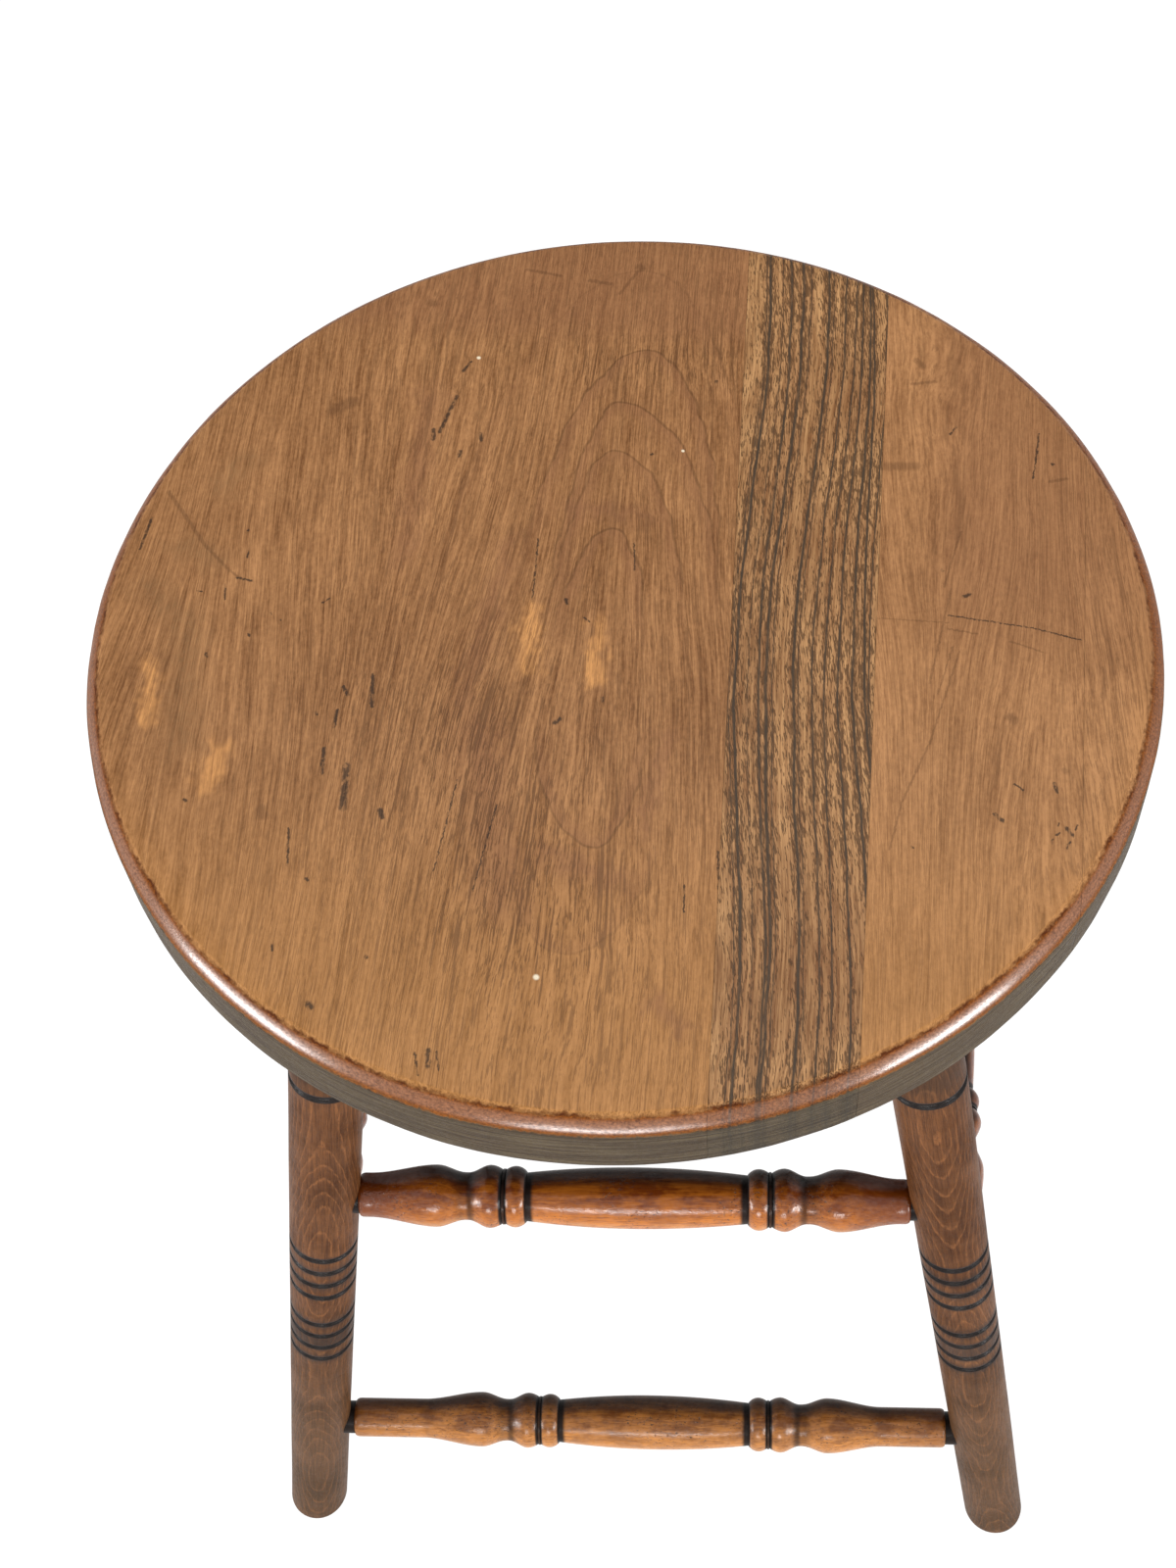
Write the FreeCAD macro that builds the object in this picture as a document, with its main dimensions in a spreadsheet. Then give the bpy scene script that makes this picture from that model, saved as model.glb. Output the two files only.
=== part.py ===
import FreeCAD, Part
import math
import os
import PartDesign
import Sketcher

# A round wooden stool: a seat glued up from four boards, four splayed turned legs let into blind sockets in
# its underside, and six turned stretchers: an upper tier of four, and two lower ones at the front and back.
#
# Lengths are in millimetres and angles in degrees. +Z is up, the floor is z = 0, and the origin is on the
# floor under the middle of the seat. The front faces -Y, and the grain of the seat runs from front to back.

# Driving sizes of the stool
SIZES = {
    # Seat
    "seat_height": 460.0,
    "seat_diameter": 343.0,
    "seat_thickness": 27.0,
    "seat_top_round": 6.0,
    "seat_foot_bevel": 1.5,
    # Boards of the seat, and how far their glue joints are out of line with its grain
    "strip_width": 45.3,
    "right_board_width": 64.1,
    "edge_board_width": 26.7,
    "first_joint_skew": 1.3,
    "second_joint_skew": 0.0,
    "third_joint_skew": -1.3,
    "grain_turn": -3.4,
    # Legs: how far past the second glue joint, across the grain, the front right one enters the seat, and
    # half the distance between the axes of neighbours on the floor
    "leg_past_joint": 12.1526,
    "leg_foot_spread": 150.9,
    "leg_foot_diameter": 24.6,
    "leg_ring_diameter": 26.0,
    "leg_top_diameter": 22.0,
    "leg_top_chamfer": 1.0,
    "leg_foot_bevel": 2.0,
    "socket_depth": 18.0,
    # Lines turned into the legs: places are measured along the leg, up from the floor
    "ring_place": 353.0,
    "ring_width": 2.6,
    "ring_depth": 1.0,
    "line_width": 1.9,
    "line_depth": 0.9,
    "line_pitch": 9.65,
    "lines_in_group": 4,
    "low_group_place": 160.9,
    "high_group_place": 212.0,
    # Stretchers: height of the front and back ones, and how far the shoulders stand from the legs
    "upper_height": 263.0,
    "lower_height": 79.0,
    "upper_shoulder_gap": 0.6,
    "side_shoulder_gap": 0.6,
    "lower_shoulder_gap": 3.0,
    # Turning of the stretchers, from the middle outwards
    "barrel_length": 79.6,
    "barrel_diameter": 22.0,
    "barrel_end_diameter": 17.4,
    "bead_width": 8.2,
    "bead_diameter": 22.0,
    "quirk_diameter": 18.2,
    "ball_width": 13.0,
    "ball_diameter": 22.6,
    "neck_diameter": 17.8,
    "neck_width": 1.2,
    "bulb_rise": 10.3,
    "bulb_diameter": 22.4,
    "waist_diameter": 16.0,
    "upper_waist_share": 0.87,
    "side_waist_share": 0.65,
    "lower_waist_share": 0.46,
    "shoulder_length": 2.0,
    "shoulder_drop": 0.8,
    # Round tenons on the stretchers, and the fit of tenons and leg tops in their holes
    "tenon_diameter": 13.5,
    "tenon_past_axis": 3.0,
    "tenon_chamfer": 0.8,
    "glue_gap": 0.1,
    "glue_room": 0.5,
    # How far a cutting shape runs past the wood
    "overrun": 2.0,
}

# Sizes that follow from the driving ones, each from those above it
DERIVED = {
    "seat_underside": "seat_height - seat_thickness",
    "seat_radius": "seat_diameter / 2",
    "third_joint": "seat_radius - edge_board_width",
    "second_joint": "third_joint - right_board_width",
    "first_joint": "second_joint - strip_width",
    "board_reach": "seat_radius + overrun",
    "board_front": "-board_reach",
    "leg_top_spread": "(second_joint + leg_past_joint) / (cos(grain_turn) - sin(grain_turn))",
    "leg_run": "sqrt(2) * (leg_foot_spread - leg_top_spread)",
    "leg_tilt": "atan(leg_run / seat_underside)",
    "leg_axis_length": "sqrt(seat_underside * seat_underside + leg_run * leg_run)",
    "leg_foot_radius": "leg_foot_diameter / 2",
    "leg_ring_radius": "leg_ring_diameter / 2",
    "leg_top_radius": "leg_top_diameter / 2",
    "leg_waste_end": "-leg_foot_radius",
    "leg_taper_end": "leg_axis_length - leg_top_radius",
    "leg_end": "leg_axis_length + socket_depth - glue_room",
    "leg_chamfer_start": "leg_end - leg_top_chamfer",
    "leg_end_radius": "leg_top_radius - leg_top_chamfer",
    "socket_radius": "leg_top_radius + glue_gap",
    "socket_tool_length": "leg_axis_length + socket_depth",
    "floor_cut_reach": "leg_foot_diameter",
    "floor_cut_rise": "floor_cut_reach * tan(leg_tilt)",
    "floor_cut_fall": "-floor_cut_rise",
    "floor_cut_back": "-floor_cut_reach",
    "floor_cut_depth": "leg_waste_end - floor_cut_rise - overrun",
    "ring_low": "ring_place - ring_width * 3 / 4",
    "ring_high": "ring_place + ring_width * 3 / 4",
    "ring_floor_low": "ring_place - ring_width / 4",
    "ring_floor_high": "ring_place + ring_width / 4",
    "ring_floor_radius": "leg_ring_radius - ring_depth",
    "ring_mouth_radius": "leg_ring_radius + ring_depth",
    "low_group_end": "low_group_place + line_pitch * (lines_in_group - 1)",
    "side_height": "(low_group_end + high_group_place) / 2 * cos(leg_tilt)",
    "barrel_end": "barrel_length / 2",
    "barrel_radius": "barrel_diameter / 2",
    "barrel_end_radius": "barrel_end_diameter / 2",
    "bead_end": "barrel_end + bead_width",
    "bead_radius": "bead_diameter / 2",
    "quirk_radius": "quirk_diameter / 2",
    "ball_end": "bead_end + ball_width",
    "ball_radius": "ball_diameter / 2",
    "neck_radius": "neck_diameter / 2",
    "neck_end": "ball_end + neck_width",
    "bulb_place": "neck_end + bulb_rise",
    "bulb_radius": "bulb_diameter / 2",
    "rise_middle": "neck_end + bulb_rise / 2",
    "rise_middle_radius": "(neck_radius + bulb_radius) / 2",
    "waist_radius": "waist_diameter / 2",
    "fall_middle_radius": "(bulb_radius + waist_radius) / 2",
    "shoulder_radius": "waist_radius - shoulder_drop",
    "tenon_radius": "tenon_diameter / 2",
    "tenon_end_radius": "tenon_radius - tenon_chamfer",
    "mortise_radius": "tenon_radius + glue_gap",
}

# Stretchers come in three sorts, which run across the stool or along it, from front to back. The ones at the
# sides belong to the upper tier, but enter the legs further down, midway between the two groups of lines.
RUNS = {"upper": "across", "side": "along", "lower": "across"}
# Stretcher name, its sort, and the side of the stool it is on, as a sign
STRETCHERS = (
    ("front_upper", "upper", -1),
    ("back_upper", "upper", 1),
    ("left_upper", "side", -1),
    ("right_upper", "side", 1),
    ("front_lower", "lower", -1),
    ("back_lower", "lower", 1),
)
# Leg name and its corner of the stool, as signs along X and Y
LEG_CORNERS = (
    ("front_left", -1, -1),
    ("front_right", 1, -1),
    ("back_left", -1, 1),
    ("back_right", 1, 1),
)
# Seat boards from left to right, with the limits of each
BOARDS = (
    ("wide", "left_limit", "first_joint"),
    ("strip", "first_joint", "second_joint"),
    ("right", "second_joint", "third_joint"),
    ("edge", "third_joint", "right_limit"),
)
# Which way an outline's arc bends, seen along the direction of travel
SWELLING = 1
HOLLOW = -1
FULL_TURN = 360
QUARTER_TURN = 90
TOUCHING = 1e-4


def bend_formula(length, rise):
    """Radius of an arc that is level at one end and climbs by rise over length."""
    return f"(({length}) * ({length}) + ({rise}) * ({rise})) / (2 * ({rise}))"


def joint_formulas():
    """Where each glue joint meets the front and back limits of the boards."""
    formulas = {"left_limit_front": "-board_reach", "left_limit_back": "-board_reach"}
    formulas.update({"right_limit_front": "board_reach", "right_limit_back": "board_reach"})
    for joint in ("first_joint", "second_joint", "third_joint"):
        formulas[f"{joint}_front"] = f"{joint} + board_reach * tan({joint}_skew)"
        formulas[f"{joint}_back"] = f"{joint} - board_reach * tan({joint}_skew)"
    return formulas


def line_formulas():
    """The cutter that makes the turned lines, at the lowest line of each group."""
    formulas = {}
    for group in ("low_group", "high_group"):
        place = f"{group}_place"
        surface = f"(leg_foot_radius + (leg_ring_radius - leg_foot_radius) * {place} / ring_place)"
        formulas[f"{group}_floor_radius"] = f"{surface} - line_depth"
        formulas[f"{group}_mouth_radius"] = f"{surface} + line_depth"
        formulas[f"{group}_low"] = f"{place} - line_width"
        formulas[f"{group}_high"] = f"{place} + line_width"
    return formulas


def turning_formulas():
    """Radii of the arcs that all stretchers share."""
    bead_swell = "bead_radius - (barrel_end_radius + quirk_radius) / 2"
    ball_swell = "ball_radius - (quirk_radius + neck_radius) / 2"
    return {
        "barrel_bend": bend_formula("barrel_end", "barrel_radius - barrel_end_radius"),
        "bead_bend": bend_formula("bead_width / 2", bead_swell),
        "ball_bend": bend_formula("ball_width / 2", ball_swell),
        "rise_bend": bend_formula("bulb_rise / 2", "(bulb_radius - neck_radius) / 2"),
    }


def stretcher_formulas():
    """Place and length of each sort of stretcher, from where the legs are at its height."""
    formulas = {}
    for sort in RUNS:
        share = f"{sort}_height / seat_underside"
        formulas[f"{sort}_spread"] = f"leg_foot_spread + (leg_top_spread - leg_foot_spread) * {share}"
        climb = f"{sort}_height / (ring_place * cos(leg_tilt))"
        thickening = f"(leg_ring_radius - leg_foot_radius) * {climb}"
        formulas[f"{sort}_leg_radius"] = f"leg_foot_radius + {thickening}"
        formulas[f"{sort}_shoulder"] = f"{sort}_spread - {sort}_leg_radius - {sort}_shoulder_gap"
        formulas[f"{sort}_shoulder_start"] = f"{sort}_shoulder - shoulder_length"
        fall = f"({sort}_shoulder - bulb_place) * {sort}_waist_share"
        formulas[f"{sort}_waist"] = f"bulb_place + {fall}"
        formulas[f"{sort}_fall_middle"] = f"bulb_place + {fall} / 2"
        formulas[f"{sort}_fall_bend"] = bend_formula(f"{fall} / 2", "(bulb_radius - waist_radius) / 2")
        formulas[f"{sort}_end"] = f"{sort}_spread + tenon_past_axis"
        formulas[f"{sort}_chamfer_start"] = f"{sort}_end - tenon_chamfer"
        formulas[f"{sort}_mortise_end"] = f"{sort}_end + glue_room"
        formulas[f"{sort}_mortise_length"] = f"2 * {sort}_mortise_end"
    return formulas


def fill_sheet(document):
    """Write all sizes into a spreadsheet, each in a cell that carries its name."""
    sheet = document.addObject("Spreadsheet::Sheet", "Sizes")
    rows = [(name, str(number)) for name, number in SIZES.items()]
    for formulas in (DERIVED, joint_formulas(), line_formulas(), turning_formulas(), stretcher_formulas()):
        rows += [(name, f"={formula}") for name, formula in formulas.items()]
    for row, (name, content) in enumerate(rows, start=1):
        sheet.set(f"A{row}", name)
        sheet.set(f"B{row}", content)
        sheet.setAlias(f"B{row}", name)
    document.recompute()
    return sheet


def value(sheet, name):
    """The number in a named cell, or zero."""
    if name == "0":
        return 0.0
    cell = getattr(sheet, name)
    return float(getattr(cell, "Value", cell))


def origin_feature(body, role):
    """The body's own origin plane that plays the given role."""
    return next(feature for feature in body.Origin.OriginFeatures if feature.Role == role)


def new_body(document, name):
    return document.addObject("PartDesign::Body", name)


def new_sketch(body, name, role):
    """An empty sketch on one of the body's own origin planes."""
    sketch = body.newObject("Sketcher::SketchObject", name)
    sketch.AttachmentSupport = (origin_feature(body, role), [""])
    sketch.MapMode = "FlatFace"
    return sketch


def bind(item, **formulas):
    """Bind properties of a document object to cells of the sheet."""
    for name, formula in formulas.items():
        item.setExpression(name, formula)


def place(item, x, y, z, yaw="0", pitch="0"):
    """Bind an object's placement: a point, then a turn about Z and a tilt."""
    item.setExpression("Placement", f"placement(vector({x}; {y}; {z}); rotation({yaw}; {pitch}; 0))")


def add_edge(sheet, sketch, start, end, bend):
    """Add an edge of an outline and return its number and the numbers of its first and last points."""
    if bend is None:
        return sketch.addGeometry(Part.LineSegment(start, end), False), 1, 2
    radius_name, way = bend
    radius = value(sheet, radius_name)
    chord = end - start
    towards_centre = FreeCAD.Vector(chord.y, -chord.x, 0).normalize() * way
    centre = (start + end) / 2 + towards_centre * math.sqrt(radius ** 2 - chord.Length ** 2 / 4)
    first, last = (end, start) if way == SWELLING else (start, end)
    angles = [math.atan2(point.y - centre.y, point.x - centre.x) for point in (first, last)]
    circle = Part.Circle(centre, FreeCAD.Vector(0, 0, 1), radius)
    number = sketch.addGeometry(Part.ArcOfCircle(circle, *angles), False)
    bind_constraint(sketch, Sketcher.Constraint("Radius", number, radius), f"bend_{number}", radius_name)
    return (number, 2, 1) if way == SWELLING else (number, 1, 2)


def bind_constraint(sketch, constraint, label, name):
    """Add a constraint under a label of its own and bind it to a cell of the sheet."""
    sketch.renameConstraint(sketch.addConstraint(constraint), label)
    sketch.setExpression(f"Constraints.{label}", f"Sizes.{name}")


def pin_coordinate(sheet, sketch, kind, edge, point, name):
    """Hold one coordinate of a point at a named size, or on an axis where the name is zero."""
    if name == "0":
        axis = -2 if kind == "DistanceX" else -1
        sketch.addConstraint(Sketcher.Constraint("PointOnObject", edge, point, axis))
        return
    size = Sketcher.Constraint(kind, -1, 1, edge, point, value(sheet, name))
    bind_constraint(sketch, size, f"{kind}_{edge}", name)


def draw_outline(sheet, sketch, stations):
    """Draw a closed outline through stations of named sizes.

    A station is an x name, a y name and, where the edge that leaves it is an arc, the pair of the name of
    its radius and the way it bends.
    """
    points = [FreeCAD.Vector(value(sheet, station[0]), value(sheet, station[1]), 0) for station in stations]
    edges = []
    for index, station in enumerate(stations):
        following = points[(index + 1) % len(points)]
        bend = station[2] if len(station) > 2 else None
        edges.append(add_edge(sheet, sketch, points[index], following, bend))
    for index, station in enumerate(stations):
        edge, first, _ = edges[index]
        earlier_edge, _, earlier_last = edges[index - 1]
        sketch.addConstraint(Sketcher.Constraint("Coincident", earlier_edge, earlier_last, edge, first))
        if station[:2] == ("0", "0"):
            sketch.addConstraint(Sketcher.Constraint("Coincident", edge, first, -1, 1))
            continue
        pin_coordinate(sheet, sketch, "DistanceX", edge, first, station[0])
        pin_coordinate(sheet, sketch, "DistanceY", edge, first, station[1])


def add_turning(sheet, body, kind, name, role, axis, stations):
    """Revolve an outline about an axis of its sketch, to add wood or to groove it."""
    sketch = new_sketch(body, f"{name}_outline", role)
    draw_outline(sheet, sketch, stations)
    feature = body.newObject(kind, name)
    feature.Profile = sketch
    feature.ReferenceAxis = (sketch, [axis])
    feature.Angle = FULL_TURN
    return feature, sketch


def edges_at_height(shape, height):
    """Names of the edges that lie level at a height."""
    names = []
    for number, edge in enumerate(shape.Edges, start=1):
        box = edge.BoundBox
        if abs(box.ZMin - height) < TOUCHING and abs(box.ZMax - height) < TOUCHING:
            names.append(f"Edge{number}")
    return names


def make_seat_blank(document, sheet):
    """The whole seat before it is told apart into boards: a disc, rounded above and bevelled below."""
    body = new_body(document, "seat_blank")
    sketch = new_sketch(body, "seat_outline", "XY_Plane")
    radius = value(sheet, "seat_radius")
    rim = sketch.addGeometry(Part.Circle(FreeCAD.Vector(0, 0, 0), FreeCAD.Vector(0, 0, 1), radius), False)
    sketch.addConstraint(Sketcher.Constraint("Coincident", rim, 3, -1, 1))
    bind_constraint(sketch, Sketcher.Constraint("Radius", rim, radius), "seat_radius", "seat_radius")
    disc = body.newObject("PartDesign::Pad", "seat_disc")
    disc.Profile = sketch
    bind(disc, Length="Sizes.seat_thickness")
    document.recompute()
    rounded = body.newObject("PartDesign::Fillet", "seat_top_round")
    rounded.Base = (disc, edges_at_height(disc.Shape, value(sheet, "seat_thickness")))
    bind(rounded, Radius="Sizes.seat_top_round")
    document.recompute()
    bevelled = body.newObject("PartDesign::Chamfer", "seat_foot_bevel")
    bevelled.Base = (rounded, edges_at_height(rounded.Shape, 0))
    bind(bevelled, Size="Sizes.seat_foot_bevel")
    place(body, "0", "0", "Sizes.seat_underside")
    return body


def make_sockets(document):
    """The four slanted holes in the underside of the seat, bored in line with the legs."""
    holes = []
    for name, x_sign, y_sign in LEG_CORNERS:
        hole = document.addObject("Part::Cylinder", f"socket_{name}")
        bind(hole, Radius="Sizes.socket_radius", Height="Sizes.socket_tool_length")
        place_leg(hole, x_sign, y_sign)
        holes.append(hole)
    sockets = document.addObject("Part::MultiFuse", "sockets")
    sockets.Shapes = holes
    return sockets


def make_board(document, sheet, blank, sockets, name, left, right):
    """One board of the seat: the part of the blank between two glue joints, less the sockets."""
    slab = new_body(document, f"slab_{name}")
    sketch = new_sketch(slab, f"slab_{name}_outline", "XY_Plane")
    corners = [(f"{left}_front", "board_front"), (f"{right}_front", "board_front")]
    corners += [(f"{right}_back", "board_reach"), (f"{left}_back", "board_reach")]
    draw_outline(sheet, sketch, corners)
    pad = slab.newObject("PartDesign::Pad", f"slab_{name}_pad")
    pad.Profile = sketch
    pad.Midplane = True
    bind(pad, Length="2 * (Sizes.seat_thickness + Sizes.overrun)")
    place(slab, "0", "0", "Sizes.seat_underside", yaw="Sizes.grain_turn")
    sawn = document.addObject("Part::Common", f"sawn_{name}")
    sawn.Base = blank
    sawn.Tool = slab
    board = document.addObject("Part::Cut", f"seat_board_{name}")
    board.Base = sawn
    board.Tool = sockets
    board.Label = f"seat_board_{name}"
    return board


def place_leg(item, x_sign, y_sign):
    """Stand an object that runs along its own Z on a corner of the stool, leaning in as the legs do."""
    yaw = math.degrees(math.atan2(y_sign, x_sign))
    x = f"{x_sign} * Sizes.leg_foot_spread"
    y = f"{y_sign} * Sizes.leg_foot_spread"
    place(item, x, y, "0", yaw=str(yaw), pitch="-Sizes.leg_tilt")


def turn_leg(document, sheet, name):
    """A leg from the lathe along its own Z, its X pointing out of the stool, its foot sawn to the floor."""
    body = new_body(document, f"turned_leg_{name}")
    add_turning(sheet, body, "PartDesign::Revolution", f"wood_{name}", "XZ_Plane", "V_Axis", [
        ("0", "leg_waste_end"),
        ("leg_foot_radius", "leg_waste_end"),
        ("leg_foot_radius", "0"),
        ("leg_ring_radius", "ring_place"),
        ("leg_top_radius", "leg_taper_end"),
        ("leg_top_radius", "leg_chamfer_start"),
        ("leg_end_radius", "leg_end"),
        ("0", "leg_end"),
    ])
    add_turning(sheet, body, "PartDesign::Groove", f"ring_{name}", "XZ_Plane", "V_Axis", [
        ("ring_floor_radius", "ring_floor_low"),
        ("ring_mouth_radius", "ring_low"),
        ("ring_mouth_radius", "ring_high"),
        ("ring_floor_radius", "ring_floor_high"),
    ])
    for group in ("low_group", "high_group"):
        line, sketch = add_turning(
            sheet, body, "PartDesign::Groove", f"{group}_{name}", "XZ_Plane", "V_Axis", [
                (f"{group}_floor_radius", f"{group}_place"),
                (f"{group}_mouth_radius", f"{group}_low"),
                (f"{group}_mouth_radius", f"{group}_high"),
            ])
        pattern = body.newObject("PartDesign::LinearPattern", f"{group}_lines_{name}")
        pattern.Originals = [line]
        pattern.Direction = (sketch, ["V_Axis"])
        bind(pattern, Length="Sizes.line_pitch * (Sizes.lines_in_group - 1)")
        bind(pattern, Occurrences="Sizes.lines_in_group")
        body.Tip = pattern
    saw_cut = new_sketch(body, f"saw_cut_{name}", "XZ_Plane")
    draw_outline(sheet, saw_cut, [
        ("floor_cut_back", "floor_cut_rise"),
        ("floor_cut_back", "floor_cut_depth"),
        ("floor_cut_reach", "floor_cut_depth"),
        ("floor_cut_reach", "floor_cut_fall"),
    ])
    foot = body.newObject("PartDesign::Pocket", f"foot_{name}")
    foot.Profile = saw_cut
    foot.Midplane = True
    bind(foot, Length="2 * Sizes.floor_cut_reach")
    return body, foot


def make_leg(document, sheet, mortises, name, x_sign, y_sign):
    """One leg, standing in place, with its foot bevelled and its three mortises bored."""
    body, foot = turn_leg(document, sheet, name)
    place_leg(body, x_sign, y_sign)
    document.recompute()
    rim_shape = foot.Shape.copy()
    rim_shape.Placement = body.Placement.multiply(rim_shape.Placement)
    bevel = body.newObject("PartDesign::Chamfer", f"foot_bevel_{name}")
    bevel.Base = (foot, edges_at_height(rim_shape, 0.0))
    bind(bevel, Size="Sizes.leg_foot_bevel")
    leg = document.addObject("Part::Cut", f"leg_{name}")
    leg.Base = body
    leg.Tool = mortises
    leg.Label = f"leg_{name}"
    return leg


def place_stretcher(item, sort, side, start="0", pitch="0"):
    """Lay an object along one side of the stool, at the height of a sort of stretcher."""
    offset = f"{side} * Sizes.{sort}_spread"
    height = f"Sizes.{sort}_height"
    if RUNS[sort] == "across":
        place(item, start, offset, height, pitch=pitch)
    else:
        place(item, offset, start, height, yaw=str(QUARTER_TURN), pitch=pitch)


def make_mortises(document):
    """The round mortises: one bore in line with each stretcher, from end to end."""
    bores = []
    for name, sort, side in STRETCHERS:
        bore = document.addObject("Part::Cylinder", f"bore_{name}")
        bind(bore, Radius="Sizes.mortise_radius", Height=f"Sizes.{sort}_mortise_length")
        place_stretcher(bore, sort, side, start=f"-Sizes.{sort}_mortise_end", pitch=str(QUARTER_TURN))
        bores.append(bore)
    mortises = document.addObject("Part::Compound", "mortises")
    mortises.Links = bores
    return mortises


def make_stretcher(document, sheet, name, sort, side):
    """One turned stretcher: barrel, bead, ball, neck, bulb, waist, shoulder and tenon, alike both ways."""
    body = new_body(document, f"stretcher_{name}")
    half, _ = add_turning(sheet, body, "PartDesign::Revolution", f"half_{name}", "XY_Plane", "H_Axis", [
        ("0", "barrel_radius", ("barrel_bend", SWELLING)),
        ("barrel_end", "barrel_end_radius", ("bead_bend", SWELLING)),
        ("bead_end", "quirk_radius", ("ball_bend", SWELLING)),
        ("ball_end", "neck_radius"),
        ("neck_end", "neck_radius", ("rise_bend", HOLLOW)),
        ("rise_middle", "rise_middle_radius", ("rise_bend", SWELLING)),
        ("bulb_place", "bulb_radius", (f"{sort}_fall_bend", SWELLING)),
        (f"{sort}_fall_middle", "fall_middle_radius", (f"{sort}_fall_bend", HOLLOW)),
        (f"{sort}_waist", "waist_radius"),
        (f"{sort}_shoulder_start", "waist_radius"),
        (f"{sort}_shoulder", "shoulder_radius"),
        (f"{sort}_shoulder", "tenon_radius"),
        (f"{sort}_chamfer_start", "tenon_radius"),
        (f"{sort}_end", "tenon_end_radius"),
        (f"{sort}_end", "0"),
        ("0", "0"),
    ])
    both = body.newObject("PartDesign::Mirrored", f"both_{name}")
    both.Originals = [half]
    both.MirrorPlane = (origin_feature(body, "YZ_Plane"), [""])
    body.Tip = both
    body.Label = f"stretcher_{name}"
    place_stretcher(body, sort, side)
    return body


def check_features(document):
    """Stop if any feature of the document has failed."""
    failed = [item.Name for item in document.Objects if {"Invalid", "Error"} & set(item.State)]
    if failed:
        raise RuntimeError("failed features: " + ", ".join(failed))


def write_parts(pieces):
    """Check each piece and write it to its own file."""
    os.makedirs("parts", exist_ok=True)
    for piece in pieces:
        shape = piece.Shape
        if shape.isNull() or not shape.isValid() or len(shape.Solids) != 1:
            raise RuntimeError("not one sound solid: " + piece.Label)
        solid = shape.Solids[0]
        solid.exportStep(f"parts/{piece.Label}.step")
        print(f"{piece.Label}: {solid.Volume / 1000:.1f} cm3, {len(solid.Faces)} faces")


def main():
    document = FreeCAD.newDocument("stool")
    sheet = fill_sheet(document)
    blank = make_seat_blank(document, sheet)
    sockets = make_sockets(document)
    mortises = make_mortises(document)
    pieces = [make_board(document, sheet, blank, sockets, *board) for board in BOARDS]
    pieces += [make_leg(document, sheet, mortises, *corner) for corner in LEG_CORNERS]
    pieces += [make_stretcher(document, sheet, *stretcher) for stretcher in STRETCHERS]
    document.recompute()
    check_features(document)
    write_parts(pieces)


main()
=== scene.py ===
import inspect
import math
from functools import partial

import bmesh
import bpy
from mathutils import Matrix, Vector, noise


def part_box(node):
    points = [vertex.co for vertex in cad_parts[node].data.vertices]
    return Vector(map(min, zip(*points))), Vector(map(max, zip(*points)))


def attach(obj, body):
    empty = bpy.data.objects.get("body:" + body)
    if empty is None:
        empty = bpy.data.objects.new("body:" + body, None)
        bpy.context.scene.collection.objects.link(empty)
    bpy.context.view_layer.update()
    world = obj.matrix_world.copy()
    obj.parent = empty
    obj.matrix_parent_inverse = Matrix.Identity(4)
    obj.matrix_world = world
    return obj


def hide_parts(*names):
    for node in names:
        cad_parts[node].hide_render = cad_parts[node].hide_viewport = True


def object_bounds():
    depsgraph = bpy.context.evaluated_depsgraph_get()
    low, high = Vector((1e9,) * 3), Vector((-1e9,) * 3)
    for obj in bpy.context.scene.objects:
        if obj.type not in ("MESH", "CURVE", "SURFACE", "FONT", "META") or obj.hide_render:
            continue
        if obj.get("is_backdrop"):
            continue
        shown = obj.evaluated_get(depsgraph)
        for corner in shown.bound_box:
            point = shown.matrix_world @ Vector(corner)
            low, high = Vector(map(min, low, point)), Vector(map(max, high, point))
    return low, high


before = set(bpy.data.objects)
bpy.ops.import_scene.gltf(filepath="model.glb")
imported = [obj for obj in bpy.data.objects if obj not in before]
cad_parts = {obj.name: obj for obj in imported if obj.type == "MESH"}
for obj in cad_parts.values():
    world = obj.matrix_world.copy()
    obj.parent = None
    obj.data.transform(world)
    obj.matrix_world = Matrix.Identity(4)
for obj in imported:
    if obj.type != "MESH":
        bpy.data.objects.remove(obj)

bl_info = {
    "name": "Round Wooden Stool",
    "version": (1, 0, 0),
    "blender": (4, 5, 0),
    "location": "3D View > Sidebar > Stool",
    "description": "Builds a round stool with a boarded seat, splayed turned legs and turned stretchers",
    "category": "Add Mesh",
}

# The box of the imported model, before anything is added to it
CAD_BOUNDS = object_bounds()

MM = 0.001
# Seat boards from left to right, with the joint on each side of each
BOARDS = (("wide", None, "first"), ("strip", "first", "second"),
          ("right", "second", "third"), ("edge", "third", None))
# Leg name, the signs of its corner along X and Y, and where in its plank it was cut, in millimetres
LEG_CORNERS = (("front_left", -1, -1, 97), ("front_right", 1, -1, 974), ("back_left", -1, 1, 2000),
               ("back_right", 1, 1, 3000))
# Stretcher name, its sort, and the side it is on, as a sign
STRETCHERS = (("front_upper", "upper", -1), ("back_upper", "upper", 1), ("left_upper", "side", -1),
              ("right_upper", "side", 1), ("front_lower", "lower", -1), ("back_lower", "lower", 1))
# How much of the way from bulb to shoulder each sort of stretcher takes to narrow to its waist
WAIST_SHARES = {"upper": 0.87, "side": 0.65, "lower": 0.46}
# Sides of the turned meshes
SEAT_SIDES, LEG_SIDES, STRETCHER_SIDES = 288, 72, 56
# Depth of the waves left by hand turning and wear, and how far wear has taken the seat's side back
EDGE_WAVES, EDGE_WEAR, LEG_WAVES, STRETCHER_WAVES = 0.00022, 0.0002, 0.00012, 0.00009
# Shape of the worn edge of the seat: a power of 1 would be a quarter circle, and 2 a plain bevel
EDGE_POWER = 1.5
# How far the black ring and the turned lines reach from their middles, as shares of their widths
RING_REACH, LINE_REACH = 0.62, 0.72
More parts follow.
